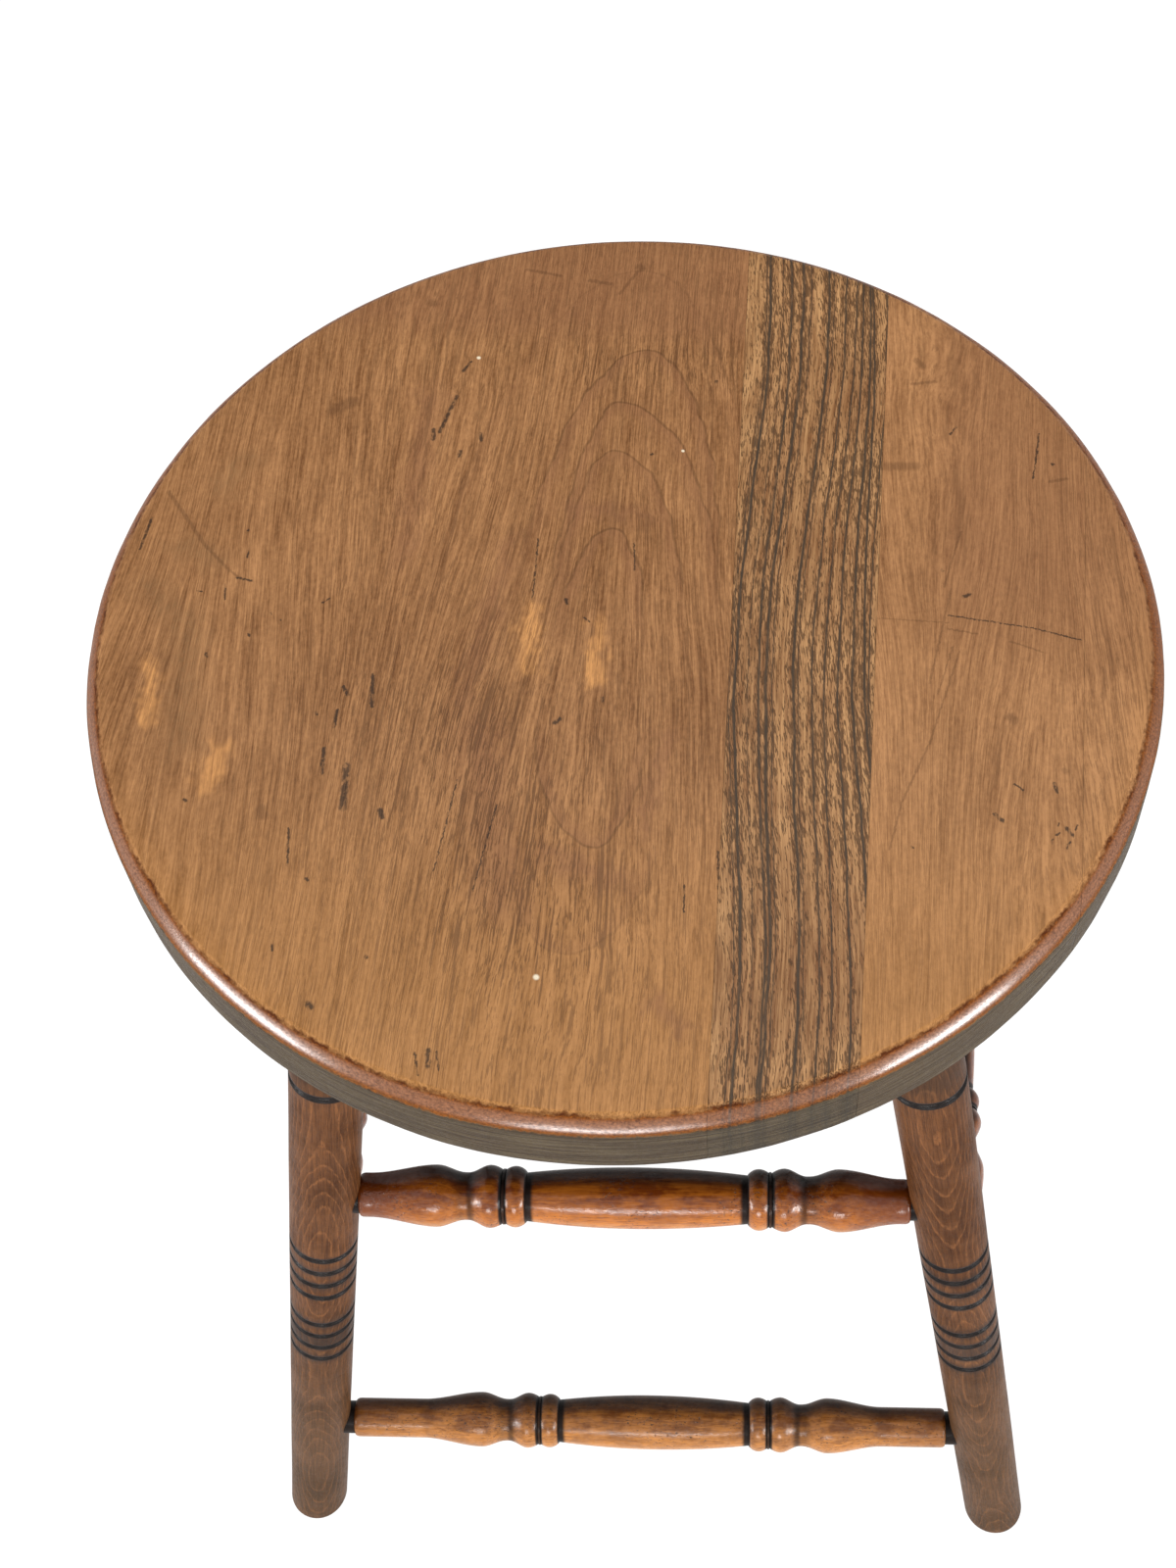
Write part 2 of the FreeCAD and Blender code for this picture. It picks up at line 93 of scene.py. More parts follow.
# Distance between the rings of a leg's mesh, and their places at a groove, as shares of that reach
LEG_STEP = 0.006
GROOVE_SHARES = (-1.3, -1, -0.8, -0.55, -0.25, 0, 0.25, 0.55, 0.8, 1, 1.3)
# Distances in millimetres at which a recess is judged for its dirt, and on the stretchers for dirt and
# painted shade in a wide halo, and the depth of a full one, in metres
LEG_SHIFTS = (-0.6, 0, 0.6)
STRETCHER_SHIFTS = (-2.7, -1.8, -0.9, 0, 0.9, 1.8, 2.7)
FULL_RECESS = 0.0009
# Distance before a stretcher's shoulder over which it darkens
DARK_END = 0.035
# How far the dark top of each sort of stretcher leans inwards, and how much wider it is; the dark top is
# painted shade with some dirt, and on the side stretchers the wider dark top and darker wood are painted
# shade
RISES = {"upper": (0.66, 0.0), "side": (0.1, 0.5), "lower": (0.66, 0.0)}
# Distance between two rings of a mesh that stand for a sharp corner
SHARP = 1e-5


def metres(name, default, description):
    """A size in metres, shown in the units of the scene."""
    return bpy.props.FloatProperty(
        name=name, description=description, default=default, min=0, precision=4, unit="LENGTH")


def tint(name, default, description):
    """A colour, as linear values."""
    return bpy.props.FloatVectorProperty(
        name=name, description=description, default=default, min=0, max=1, size=3, subtype="COLOR")


def ratio(name, default, description):
    """A plain number."""
    return bpy.props.FloatProperty(name=name, description=description, default=default, min=0, precision=4)


def angle(name, default, description):
    """An angle, given in degrees and kept in radians."""
    return bpy.props.FloatProperty(
        name=name, description=description, default=math.radians(default), unit="ROTATION", subtype="ANGLE")


class StoolSeatSettings(bpy.types.PropertyGroup):
    """Sizes of the seat."""
    height: metres("Height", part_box("seat_board_wide")[1].z, "Top of the seat above the floor")
    diameter: metres("Diameter", 0.343, "Width of the round seat along its grain")
    across_share: ratio("Width Share", 0.9915, "Width across the grain as a share of that along it")
    thickness: metres("Thickness", 0.027, "Thickness of the boards")
    top_round: metres("Top Round", 0.006, "Radius of the rounded upper edge")
    foot_bevel: metres("Lower Bevel", 0.0015, "Small bevel round the underside")
    strip_width: metres("Strip Width", 0.0453, "Width of the open-grained strip")
    right_width: metres("Right Board Width", 0.0641, "Width of the board right of the strip")
    edge_width: metres("Edge Board Width", 0.0267, "Width of the narrow board at the right edge")
    grain_turn: angle("Grain Turn", -3.4, "How far the grain is turned from front to back")
    joint_skew: angle("Joint Skew", 1.3, "How far the outer joints are out of line with the grain")
    joint_gap: metres("Joint Gap", 0.00008, "Open width of the glue joints")


class StoolLegSettings(bpy.types.PropertyGroup):
    """Sizes of the legs."""
    foot_spread: metres("Foot Spread", 0.1509, "Half the distance between leg axes on the floor")
    top_spread: metres("Top Spread", 0.0878, "Half the distance between leg axes under the seat")
    foot_diameter: metres("Foot Diameter", 0.0246, "Diameter on the floor")
    ring_diameter: metres("Ring Diameter", 0.026, "Diameter at the black ring, where the leg is thickest")
    top_diameter: metres("Top Diameter", 0.022, "Diameter where the leg enters the seat")
    foot_round: metres("Foot Round", 0.0034, "Radius of the rounded foot")
    socket_depth: metres("Socket Depth", 0.0175, "How far the leg runs into the seat")
    ring_place: metres("Ring Place", 0.353, "Place of the black ring, along the leg from the floor")
    ring_width: metres("Ring Width", 0.0026, "Width of the black ring")
    ring_depth: metres("Ring Depth", 0.001, "Depth of the black ring")
    low_lines: metres("Low Lines", 0.1609, "Place of the lowest line of the lower group")
    high_lines: metres("High Lines", 0.212, "Place of the lowest line of the upper group")
    line_pitch: metres("Line Pitch", 0.00965, "Distance between neighbouring lines")
    line_width: metres("Line Width", 0.0019, "Width of a turned line, without its soft edges")
    line_depth: metres("Line Depth", 0.0009, "Depth of a turned line")
    lines: bpy.props.IntProperty(
        name="Lines", description="Turned lines in each group", default=4, min=1, max=8)


class StoolStretcherSettings(bpy.types.PropertyGroup):
    """Sizes of the stretchers."""
    upper_height: metres("Upper Height", 0.263, "Height of the upper front and back stretchers")
    lower_height: metres("Lower Height", 0.079, "Height of the lower front and back stretchers")
    side_height: metres("Side Height", 0.1968, "Height of the stretchers at the sides")
    upper_offset: metres("Upper Offset", 0.0014, "How far an upper stretcher's turning is off the middle")
    side_offset: metres("Side Offset", 0.0, "How far a side stretcher's turning is off the middle")
    lower_offset: metres("Lower Offset", 0.0025, "How far a lower stretcher's turning is off the middle")
    barrel_length: metres("Barrel Length", 0.0796, "Length of the middle barrel")
    barrel_diameter: metres("Barrel Diameter", 0.022, "Diameter of the barrel at its middle")
    barrel_end_diameter: metres("Barrel End Diameter", 0.0174, "Diameter at the ends of the barrel")
    bead_width: metres("Bead Width", 0.0082, "Width of the bead beside the barrel")
    bead_diameter: metres("Bead Diameter", 0.022, "Diameter of the bead")
    quirk_diameter: metres("Quirk Diameter", 0.0182, "Diameter in the groove between bead and ball")
    ball_width: metres("Ball Width", 0.013, "Width of the ball")
    ball_diameter: metres("Ball Diameter", 0.0226, "Diameter of the ball")
    neck_diameter: metres("Neck Diameter", 0.0171, "Diameter of the neck beyond the ball")
    neck_width: metres("Neck Width", 0.0012, "Width of the neck")
    bulb_rise: metres("Bulb Rise", 0.0103, "Length over which the neck swells to the bulb")
    bulb_diameter: metres("Bulb Diameter", 0.0224, "Largest diameter of the bulb")
    waist_diameter: metres("Waist Diameter", 0.016, "Diameter near the leg")
    tenon_diameter: metres("Tenon Diameter", 0.0135, "Diameter of the tenon that enters the leg")
    tenon_past_axis: metres("Tenon Past Axis", 0.003, "How far the tenon runs past the middle of the leg")
    shoulder_length: metres("Shoulder Length", 0.002, "Length of the rounded shoulder")
    fillet_height: metres("Fillet Height", 0.0009, "Height of the thin fillet between bead and ball")
    fillet_width: metres("Fillet Width", 0.0009, "Width of the thin fillet")
    upper_shoulder_gap: metres("Upper Shoulder Gap", 0.0006, "Gap between an upper shoulder and the leg")
    side_shoulder_gap: metres("Side Shoulder Gap", 0.0006, "Gap between a side shoulder and the leg")
    lower_shoulder_gap: metres("Lower Shoulder Gap", 0.003, "Gap between a lower shoulder and the leg")


class StoolFinishSettings(bpy.types.PropertyGroup):
    """Colours of the stained and worn wood, some of them also used for painted light and painted shade."""
    seat_light: tint("Seat Light", (0.49, 0.24, 0.098), "Rubbed, light wood of the seat")
    seat_middle: tint("Seat Middle", (0.155, 0.060, 0.0185), "Darker wood of the seat")
    seat_dark: tint("Seat Dark", (0.075, 0.030, 0.011), "Dark fibres of the seat")
    seat_red: tint("Seat Red", (0.25, 0.108, 0.050), "Redder zones of the seat")
    seat_grey: tint("Seat Grey", (0.17, 0.098, 0.043), "Greyed zones of the seat")
    worn_patch: tint("Worn Patch", (0.70, 0.33, 0.11), "Spots where the stain is rubbed off")
    strip_light: tint("Strip Light", (0.58, 0.315, 0.135), "Wood between the lines of the strip")
    strip_pore: tint("Strip Pore", (0.075, 0.036, 0.015), "Short pores of the strip")
    strip_dark: tint("Strip Dark", (0.046, 0.033, 0.022), "Long dark lines of the strip")
    rim_light: tint("Rim Light", (0.27, 0.074, 0.006), "Light grains of the rubbed rim")
    rim_dark: tint("Rim Dark", (0.08, 0.02, 0.004), "Dark grains of the rubbed rim")
    side_light: tint("Side Light", (0.083, 0.067, 0.041), "Light streaks of the seat's side")
    side_dark: tint("Side Dark", (0.026, 0.021, 0.016), "Dark streaks of the seat's side")
    leg_flame: tint("Leg Flame", (0.30, 0.12, 0.043), "Thin light lines in the figure of the legs")
    leg_light: tint("Leg Light", (0.178, 0.068, 0.022), "Light wood of the legs")
    leg_dark: tint("Leg Dark", (0.048, 0.0175, 0.007), "Dark wood of the legs")
    upper_light: tint("Upper Stretcher Light", (0.50, 0.15, 0.012), "Light figure of the upper stretchers")
    upper_dark: tint("Upper Stretcher Dark", (0.13, 0.024, 0.001), "Dark figure of the upper stretchers")
    lower_light: tint("Lower Stretcher Light", (0.52, 0.205, 0.045), "Light figure of the lower stretchers")
    lower_dark: tint("Lower Stretcher Dark", (0.135, 0.042, 0.008), "Dark figure of the lower stretchers")
    # Partly the wood's light figure and partly painted light: these patches are put only on the stretchers'
    # lower sides
    under_light: tint("Under Light", (0.55, 0.225, 0.05), "Unstained patches under the stretchers")
    seat_front: tint("Seat Front", (0.46, 0.21, 0.05), "Warm wood towards the front edge")
    pale: tint("Pale", (0.85, 0.74, 0.55), "Specks of old paint")
    # Dirt in the seat's marks and in the legs' grooves and pores, and also the painted shade on the
    # stretchers' tops and in their recesses
    grime: tint("Grime And Shade", (0.009, 0.008, 0.008), "Old polish and dirt in recesses")


class StoolStageSettings(bpy.types.PropertyGroup):
    """Camera, lamps and floor."""
    floor_size: metres("Floor Size", 8.0, "Side of the square floor")
    lens: bpy.props.FloatProperty(
        name="Lens", description="Focal length of the camera, in millimetres", default=53.8)
    camera_distance: metres("Camera Distance", 0.7386, "Distance of the camera from the seat")
    camera_side: angle("Camera Side", 7.01, "How far the camera stands to the right of the front")
    camera_rise: angle("Camera Rise", 58.04, "How far the camera looks down")
    camera_roll: angle("Camera Roll", 5.87, "How far the camera is tilted sideways")
    side_power: ratio("Side Power", 12.0, "Power of each lamp at the front's left and right, in watts")
    front_power: ratio("Front Power", 8.0, "Power of the lamp at the front, in watts")
    top_power: ratio("Top Power", 14.5, "Power of the lamp over the stool, in watts")
    sky_strength: ratio("Sky Strength", 0.35, "Light from all around")
    floor_glow: ratio("Floor Glow", 1.14, "Brightness of the floor's own white")
    glow_share: ratio("Glow Share", 0.85, "How much of the floor's look is its own white")


def limited(value):
    """A value kept between nought and one."""
    return min(1.0, max(0.0, value))


def smooth_step(value, start, end):
    """A soft step from nought at start to one at end."""
    share = limited((value - start) / (end - start))
    return share * share * (3 - 2 * share)


def unevenness(point, grain, seed):
    """A slow random number from about minus one to one, for hand-made surfaces."""
    return noise.noise(point / grain + Vector((seed, seed * 0.7, -seed)))


def add_attribute(mesh, name, kind, values):
    """Store one value per vertex under a name, for the materials."""
    layer = mesh.attributes.new(name, kind, "POINT")
    key = "vector" if kind == "FLOAT_VECTOR" else "value"
    for item, value in zip(layer.data, values):
        setattr(item, key, value)


def finish_piece(piece, node, slot, material):
    """Dress a piece, let it stand for its CAD node and let it ride with the stool."""
    piece.data.materials.append(material)
    bpy.context.scene.collection.objects.link(piece)
    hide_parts(node)
    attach(piece, "root")


def object_from_bmesh(builder, name):
    """Turn a bmesh into an object, with smooth faces and sharp edges where it turns hard."""
    bmesh.ops.recalc_face_normals(builder, faces=builder.faces)
    for face in builder.faces:
        face.smooth = True
    for edge in builder.edges:
        if len(edge.link_faces) == 2 and edge.calc_face_angle(0) > math.radians(38):
            edge.smooth = False
    mesh = bpy.data.meshes.new(name)
    builder.to_mesh(mesh)
    builder.free()
    return bpy.data.objects.new(name, mesh)


def revolve(rings, segments, point_at):
    """A closed turned body. point_at gives the place of a ring's point from the ring and its angle."""
    builder = bmesh.new()
    loops = []
    for ring in rings:
        turns = [2 * math.pi * step / segments for step in range(segments)]
        loops.append([builder.verts.new(point_at(ring, turn)) for turn in turns])
    for near, far in zip(loops, loops[1:]):
        for step in range(segments):
            following = (step + 1) % segments
            builder.faces.new((near[step], near[following], far[following], far[step]))
    builder.faces.new(list(reversed(loops[0])))
    builder.faces.new(loops[-1])
    return builder


# Seat

def seat_profile(seat):
    """Rings of the seat from the middle of the top, over the rim, to the middle of the underside."""
    radius = seat.diameter / 2
    top = seat.height
    bottom = seat.height - seat.thickness
    corner, bevel = seat.top_round, seat.foot_bevel
    rings = [(radius * share, top) for share in (0.08, 0.25, 0.42, 0.58, 0.72, 0.84, 0.92)]
    # The worn edge is flatter than a quarter circle, halfway to a plain bevel
    for step in range(17):
        turn = math.radians(90 * step / 16)
        across = radius - corner + corner * math.sin(turn) ** EDGE_POWER
        rings.append((across, top - corner + corner * math.cos(turn) ** EDGE_POWER))
    side_top = top - corner
    side_bottom = bottom + bevel
    for step in range(1, 8):
        rings.append((radius, side_top + (side_bottom - side_top) * step / 7))
    rings += [(radius - bevel * 0.3, bottom + bevel * 0.3), (radius - bevel, bottom)]
    rings += [(radius * share, bottom) for share in (0.92, 0.75, 0.55, 0.35, 0.15)]
    return rings


def joint_lines(seat):
    """For each glue joint, a point on it and the direction across it."""
    radius = seat.diameter / 2
    third = radius - seat.edge_width
    second = third - seat.right_width
    first = second - seat.strip_width
    turn = Matrix.Rotation(seat.grain_turn, 3, "Z")
    skews = {"first": (first, seat.joint_skew), "second": (second, 0.0), "third": (third, -seat.joint_skew)}
    lines = {}
    for name, (place, skew) in skews.items():
        lines[name] = (turn @ Vector((place, 0, 0)), (turn @ Vector((1, math.tan(skew), 0))).normalized())
    return lines


def rim_place(seat, point):
    """How far a point is past the start of the rounded edge, over it and down the side, in millimetres."""
    corner = seat.top_round
    across = Vector((point.x, point.y)).length - (seat.diameter / 2 - corner)
    down = seat.height - point.z
    if down < 1e-6:
        return across / MM
    if down <= corner and across > 0:
        return corner * math.atan2(across, corner - down) / MM
    return (corner * math.pi / 2 + down - corner) / MM


def build_seat(seat, finish):
    """The four boards of the seat, sawn from one turned disc."""
    edge = seat.diameter / 2 - seat.top_round * 0.9
    bottom = seat.height - seat.thickness

    def point_at(ring, turn):
        radius, height = ring
        place = Vector((radius * math.cos(turn), radius * math.sin(turn), height))
        if radius > edge and height > bottom + 1e-6:
            wobble = unevenness(place, 0.028, 3.0) + 0.5 * unevenness(place, 0.009, 5.0)
            inward = EDGE_WAVES * wobble * smooth_step(seat.height - height, 0.0, 0.004)
            place -= Vector((math.cos(turn), math.sin(turn), 0)) * (inward + EDGE_WEAR)
        place.x *= seat.across_share
        return place

    lines = joint_lines(seat)
    for board, left, right in BOARDS:
        builder = revolve(seat_profile(seat), SEAT_SIDES, point_at)
        for joint, side in ((left, -1), (right, 1)):
            if joint is None:
                continue
            origin, across = lines[joint]
            origin = origin - across * side * seat.joint_gap / 2
            geometry = builder.verts[:] + builder.edges[:] + builder.faces[:]
            cut = bmesh.ops.bisect_plane(
                builder, geom=geometry, dist=1e-7, plane_co=origin, plane_no=across * side,
                clear_outer=True)
            edges = [item for item in cut["geom_cut"] if isinstance(item, bmesh.types.BMEdge)]
            bmesh.ops.contextual_create(builder, geom=edges)
        piece = object_from_bmesh(builder, f"seat_{board}_board")
        store_seat_places(piece.data, seat)
        slot = "seat_wood" if board == "wide" else "open_grain_seat_wood"
        finish_piece(piece, f"seat_board_{board}", slot, seat_material(board, finish))


def store_seat_places(mesh, seat):
    """Store where each vertex is in the grain and along the rim, in millimetres."""
    turn = Matrix.Rotation(-seat.grain_turn, 3, "Z")
    points = [vertex.co.copy() for vertex in mesh.vertices]
    add_attribute(mesh, "wood_place", "FLOAT_VECTOR", [(turn @ point) / MM for point in points])
    for point in points:
        point.x /= seat.across_share
    add_attribute(mesh, "rim", "FLOAT", [rim_place(seat, point) for point in points])


# Legs

def leg_radius(leg, place, axis_length):
    """Radius of a leg at a place along it, before its grooves are cut."""
    taper_end = axis_length - leg.top_diameter / 2
    if place <= leg.ring_place:
        share = max(0.0, place) / leg.ring_place
        return (leg.foot_diameter + (leg.ring_diameter - leg.foot_diameter) * share) / 2
    share = min(1.0, (place - leg.ring_place) / (taper_end - leg.ring_place))
    return (leg.ring_diameter + (leg.top_diameter - leg.ring_diameter) * share) / 2


def leg_grooves(leg):
    """Middle, half width and depth of each turned groove."""
    grooves = [(leg.ring_place, leg.ring_width * RING_REACH, leg.ring_depth)]
    for start in (leg.low_lines, leg.high_lines):
        for step in range(leg.lines):
            grooves.append((start + leg.line_pitch * step, leg.line_width * LINE_REACH, leg.line_depth))
    return grooves


def groove_depth(grooves, place):
    """Depth of the grooves at a place along the leg."""
    depth = 0.0
    for middle, half_width, deepest in grooves:
        share = abs(place - middle) / half_width
        if share < 1:
            depth += deepest * math.cos(share * math.pi / 2) ** 1.3
    return depth


def leg_stations(leg, axis_length):
    """Places along a leg where its mesh has rings, close together at the grooves."""
    end = axis_length + leg.socket_depth
    places = {round(leg.foot_round + 0.001 + LEG_STEP * step, 6) for step in range(int(end / LEG_STEP))}
    for middle, half_width, _ in leg_grooves(leg):
        places = {place for place in places if abs(place - middle) > half_width * 1.6}
        places |= {middle + half_width * share for share in GROOVE_SHARES}
    return sorted(place for place in places if place < end - 0.001) + [end]


def leg_line(settings):
    """Height of the seat's underside, how far a leg leans in below it, and the length of its axis."""
    leg = settings.stool_legs
    underside = settings.stool_seat.height - settings.stool_seat.thickness
    run = math.sqrt(2) * (leg.foot_spread - leg.top_spread)
    return underside, run, math.hypot(run, underside)


def build_legs(settings, finish):
    """The four legs, each turned, grooved, leaned in and cut level at the floor."""
    leg = settings.stool_legs
    underside, run, axis_length = leg_line(settings)
    tilt = math.atan(run / underside)
    grooves = leg_grooves(leg)
    material = leg_material(finish)
    for number, (name, x_sign, y_sign, plank) in enumerate(LEG_CORNERS):
        out = Vector((x_sign, y_sign, 0)).normalized()
        up = (Vector((0, 0, 1)) * math.cos(tilt) - out * math.sin(tilt)).normalized()
        outward = out * math.cos(tilt) + Vector((0, 0, 1)) * math.sin(tilt)
        sideways = up.cross(outward)
        foot = Vector((x_sign, y_sign, 0)) * leg.foot_spread
        rings = []
        for step in range(6):
            turn = math.radians(90 * step / 5)
            inset = leg.foot_round * (1 - math.sin(turn))
            rings.append((leg.foot_round * (1 - math.cos(turn)), inset, 1.0))
        for place in leg_stations(leg, axis_length):
            rings.append((place, 0.0, 1 - smooth_step(place, 0.003, 0.04)))

        def point_at(ring, turn, number=number, foot=foot, up=up, outward=outward, sideways=sideways):
            place, inset, level = ring
            radius = leg_radius(leg, place, axis_length) - inset - groove_depth(grooves, place)
            direction = outward * math.cos(turn) + sideways * math.sin(turn)
            seed = Vector((math.cos(turn), math.sin(turn), place * 25))
            radius += LEG_WAVES * unevenness(seed, 1.2, number * 9.1)
            level_place = (place - radius * direction.z) / math.cos(tilt)
            along = place + (level_place - place) * level
            return foot + up * along + direction * radius

        piece = object_from_bmesh(revolve(rings, LEG_SIDES, point_at), f"turned_leg_{name}")
        mesh = piece.data
        places, dirt, heights = [], [], []
        for vertex in mesh.vertices:
            from_foot = vertex.co - foot
            along = from_foot.dot(up)
            off_axis = from_foot - up * along
            places.append((off_axis.x / MM, along / MM + plank, off_axis.y / MM))
            nearby = max(groove_depth(grooves, along + shift * MM) for shift in LEG_SHIFTS)
            dirt.append(min(1.0, nearby / leg.line_depth))
            heights.append(along / MM)
        add_attribute(mesh, "wood_place", "FLOAT_VECTOR", places)
        add_attribute(mesh, "recess", "FLOAT", dirt)
        add_attribute(mesh, "height", "FLOAT", heights)
        finish_piece(piece, f"leg_{name}", "leg_wood", material)


# Stretchers

def bead_radius(turning, share):
    """Radius of the bead, from the barrel to the quirk."""
    start, end = turning.barrel_end_diameter, turning.quirk_diameter
    edge = (start + (end - start) * share) / 2
    return edge + (turning.bead_diameter / 2 - edge) * math.sin(math.pi * share) ** 0.7


def ball_radius(turning, share):
    """Radius of the ball, which rises steeply from the quirk and falls softly to the neck."""
    top = turning.ball_diameter / 2
    if share < 0.4:
        return top - (top - turning.quirk_diameter / 2) * (1 - math.sin(math.pi / 2 * share / 0.4) ** 0.8)
    return top - (top - turning.neck_diameter / 2) * smooth_step(share, 0.4, 1.0)


def stretcher_parts(turning, shoulder, waist_share):
    """Where a stretcher's barrel, bead, ball, neck, bulb and waist end, from its middle outwards."""
    barrel_end = turning.barrel_length / 2
    bead_end = barrel_end + turning.bead_width
    ball_end = bead_end + turning.ball_width
    neck_end = ball_end + turning.neck_width
    bulb = neck_end + turning.bulb_rise
    return barrel_end, bead_end, ball_end, neck_end, bulb, bulb + (shoulder - bulb) * waist_share


def stretcher_radius(turning, place, shoulder, waist_share):
    """Radius of a stretcher at a distance from the middle of its turning."""
    barrel_end, bead_end, ball_end, neck_end, bulb, waist = stretcher_parts(turning, shoulder, waist_share)
    if abs(place - bead_end) < turning.fillet_width / 2:
        return turning.quirk_diameter / 2 + turning.fillet_height
    if place < barrel_end:
        fall = (turning.barrel_diameter - turning.barrel_end_diameter) / 2
        return turning.barrel_diameter / 2 - fall * (place / barrel_end) ** 2
    if place < bead_end:
        return bead_radius(turning, (place - barrel_end) / turning.bead_width)
    if place < ball_end:
        return ball_radius(turning, (place - bead_end) / turning.ball_width)
    if place < neck_end:
        return turning.neck_diameter / 2
    if place < bulb:
        rise = smooth_step(place, neck_end, bulb)
        return (turning.neck_diameter + (turning.bulb_diameter - turning.neck_diameter) * rise) / 2
    if place < waist:
        fall = smooth_step(place, bulb, waist)
        return (turning.bulb_diameter + (turning.waist_diameter - turning.bulb_diameter) * fall) / 2
    if place < shoulder:
        share = max(0.0, (place - shoulder + turning.shoulder_length) / turning.shoulder_length)
        return turning.waist_diameter / 2 - 0.001 * (1 - math.sqrt(1 - min(1.0, share) ** 2))
    return turning.tenon_diameter / 2


def stretcher_stations(turning, shoulder, waist_share, end):
    """Distances from the middle of the turning at which half a stretcher has rings."""
    barrel_end, bead_end, ball_end, neck_end, bulb, waist = stretcher_parts(turning, shoulder, waist_share)
    fillet = turning.fillet_width / 2
    places = [barrel_end * step / 12 for step in range(12)] + [barrel_end - 0.0008, barrel_end - SHARP]
    for start, width, count in ((barrel_end, turning.bead_width, 14), (bead_end, turning.ball_width, 16)):
        places += [start + SHARP + (width - 2 * SHARP) * (1 - math.cos(math.pi * step / count)) / 2
                   for step in range(count + 1)]
    places = [place for place in places if abs(place - bead_end) > fillet + SHARP]
    places += [bead_end + side * (fillet + shift) for side in (-1, 1) for shift in (-SHARP, SHARP)]
    places += [ball_end + turning.neck_width * share for share in (0.1, 0.5, 0.9)]
    places += [neck_end + turning.bulb_rise * step / 8 for step in range(8)]
    places += [bulb + (waist - bulb) * step / 16 for step in range(17)]
    places += [shoulder - turning.shoulder_length * (1 - math.sin(math.pi / 2 * step / 6))
               for step in range(6)]
    places += [shoulder - SHARP, shoulder + SHARP, end - 0.001, end]
    return sorted(set(places))


def build_stretchers(settings, finish):
    """The six stretchers, each turned and let into its two legs."""
    turning = settings.stool_stretchers
    leg = settings.stool_legs
    underside, _, axis_length = leg_line(settings)
    materials = {level: stretcher_material(level, finish) for level in ("upper", "lower")}
    for number, (name, sort, side) in enumerate(STRETCHERS):
        level = "lower" if sort == "lower" else "upper"
        height = getattr(turning, f"{sort}_height")
        offset = getattr(turning, f"{sort}_offset")
        spread = leg.foot_spread + (leg.top_spread - leg.foot_spread) * height / underside
        radius_there = leg_radius(leg, height * axis_length / underside, axis_length)
        shoulder = spread - radius_there - getattr(turning, f"{sort}_shoulder_gap")
        along, outward = Vector((1, 0, 0)), Vector((0, side, 0))
        if sort == "side":
            along, outward = Vector((0, 1, 0)), Vector((side, 0, 0))
        middle = outward * spread + Vector((0, 0, height))
        waist_share = WAIST_SHARES[sort]
        rings = []
        for half in (-1, 1):
            half_shoulder = shoulder - half * offset
            end = spread + turning.tenon_past_axis - half * offset
            for place in stretcher_stations(turning, half_shoulder, waist_share, end):
                if half > 0 or place > 0:
                    radius = stretcher_radius(turning, place, half_shoulder, waist_share)
                    rings.append((offset + half * place, radius))
        rings.sort()

        def point_at(ring, turn, number=number, middle=middle, along=along, outward=outward):
            place, radius = ring
            direction = outward * math.cos(turn) + Vector((0, 0, 1)) * math.sin(turn)
            seed = Vector((math.cos(turn), math.sin(turn), place * 30))
            radius += STRETCHER_WAVES * unevenness(seed, 1.0, number * 7.3)
            return middle + along * place + direction * radius

        piece = object_from_bmesh(revolve(rings, STRETCHER_SIDES, point_at), f"turned_stretcher_{name}")
        mesh = piece.data
        wood, dirt, ends, rises = [], [], [], []
        lean, unworn = RISES[sort]
        for vertex in mesh.vertices:
            off_middle = vertex.co - middle
            place = off_middle.dot(along)
            wood.append((off_middle.dot(outward) / MM, place / MM + 1000 * number, off_middle.z / MM))
            half = 1 if place > offset else -1
            half_shoulder = shoulder - half * offset
            # The material darkens a recess: dirt, and painted shade in the wide halo round the valleys
            radii = [stretcher_radius(turning, abs(place - offset + shift * MM), half_shoulder, waist_share)
                     for shift in STRETCHER_SHIFTS]
            dirt.append(limited((sum(radii) / 7 - radii[3]) / FULL_RECESS))
            ends.append(limited((abs(place) - shoulder + DARK_END) / DARK_END))
            # How far a point faces up and inwards; from it the material paints shade on the top and light
            # on the lower side
            inner_top = off_middle.z * 0.75 - off_middle.dot(outward) * lean
            rises.append(inner_top / (off_middle - along * place).length + unworn)
        for key, values in (("recess", dirt), ("end", ends), ("rise", rises)):
            add_attribute(mesh, key, "FLOAT", values)
        add_attribute(mesh, "wood_place", "FLOAT_VECTOR", wood)
        finish_piece(piece, f"stretcher_{name}", f"{level}_stretcher_wood", materials[level])


# Nodes

def tree_of(values):
    """The node tree of the first value that is linked."""
    return next(value.id_data for value in values if isinstance(value, bpy.types.NodeSocket))


def fill_sockets(sockets, values):
    """Fill sockets by name or number, each with a link or a value."""
    for key, value in values.items():
        if isinstance(value, bpy.types.NodeSocket):
            value.id_data.links.new(value, sockets[key])
        else:
            sockets[key].default_value = value


def add_node(tree, kind, inputs=None, **settings):
    """Add a node, set its own values and fill its inputs."""
    node = tree.nodes.new(kind)
    for name, value in settings.items():
        setattr(node, name, value)
    fill_sockets(node.inputs, inputs or {})
    return node


def calculate(operation, *values, clamp=False):
    """One step of arithmetic."""
    inputs = dict(enumerate(values))
    node = add_node(tree_of(values), "ShaderNodeMath", inputs, operation=operation, use_clamp=clamp)
    return node.outputs[0]


add, subtract = partial(calculate, "ADD"), partial(calculate, "SUBTRACT")
multiply, divide = partial(calculate, "MULTIPLY"), partial(calculate, "DIVIDE")
multiply_add, maximum = partial(calculate, "MULTIPLY_ADD"), partial(calculate, "MAXIMUM")


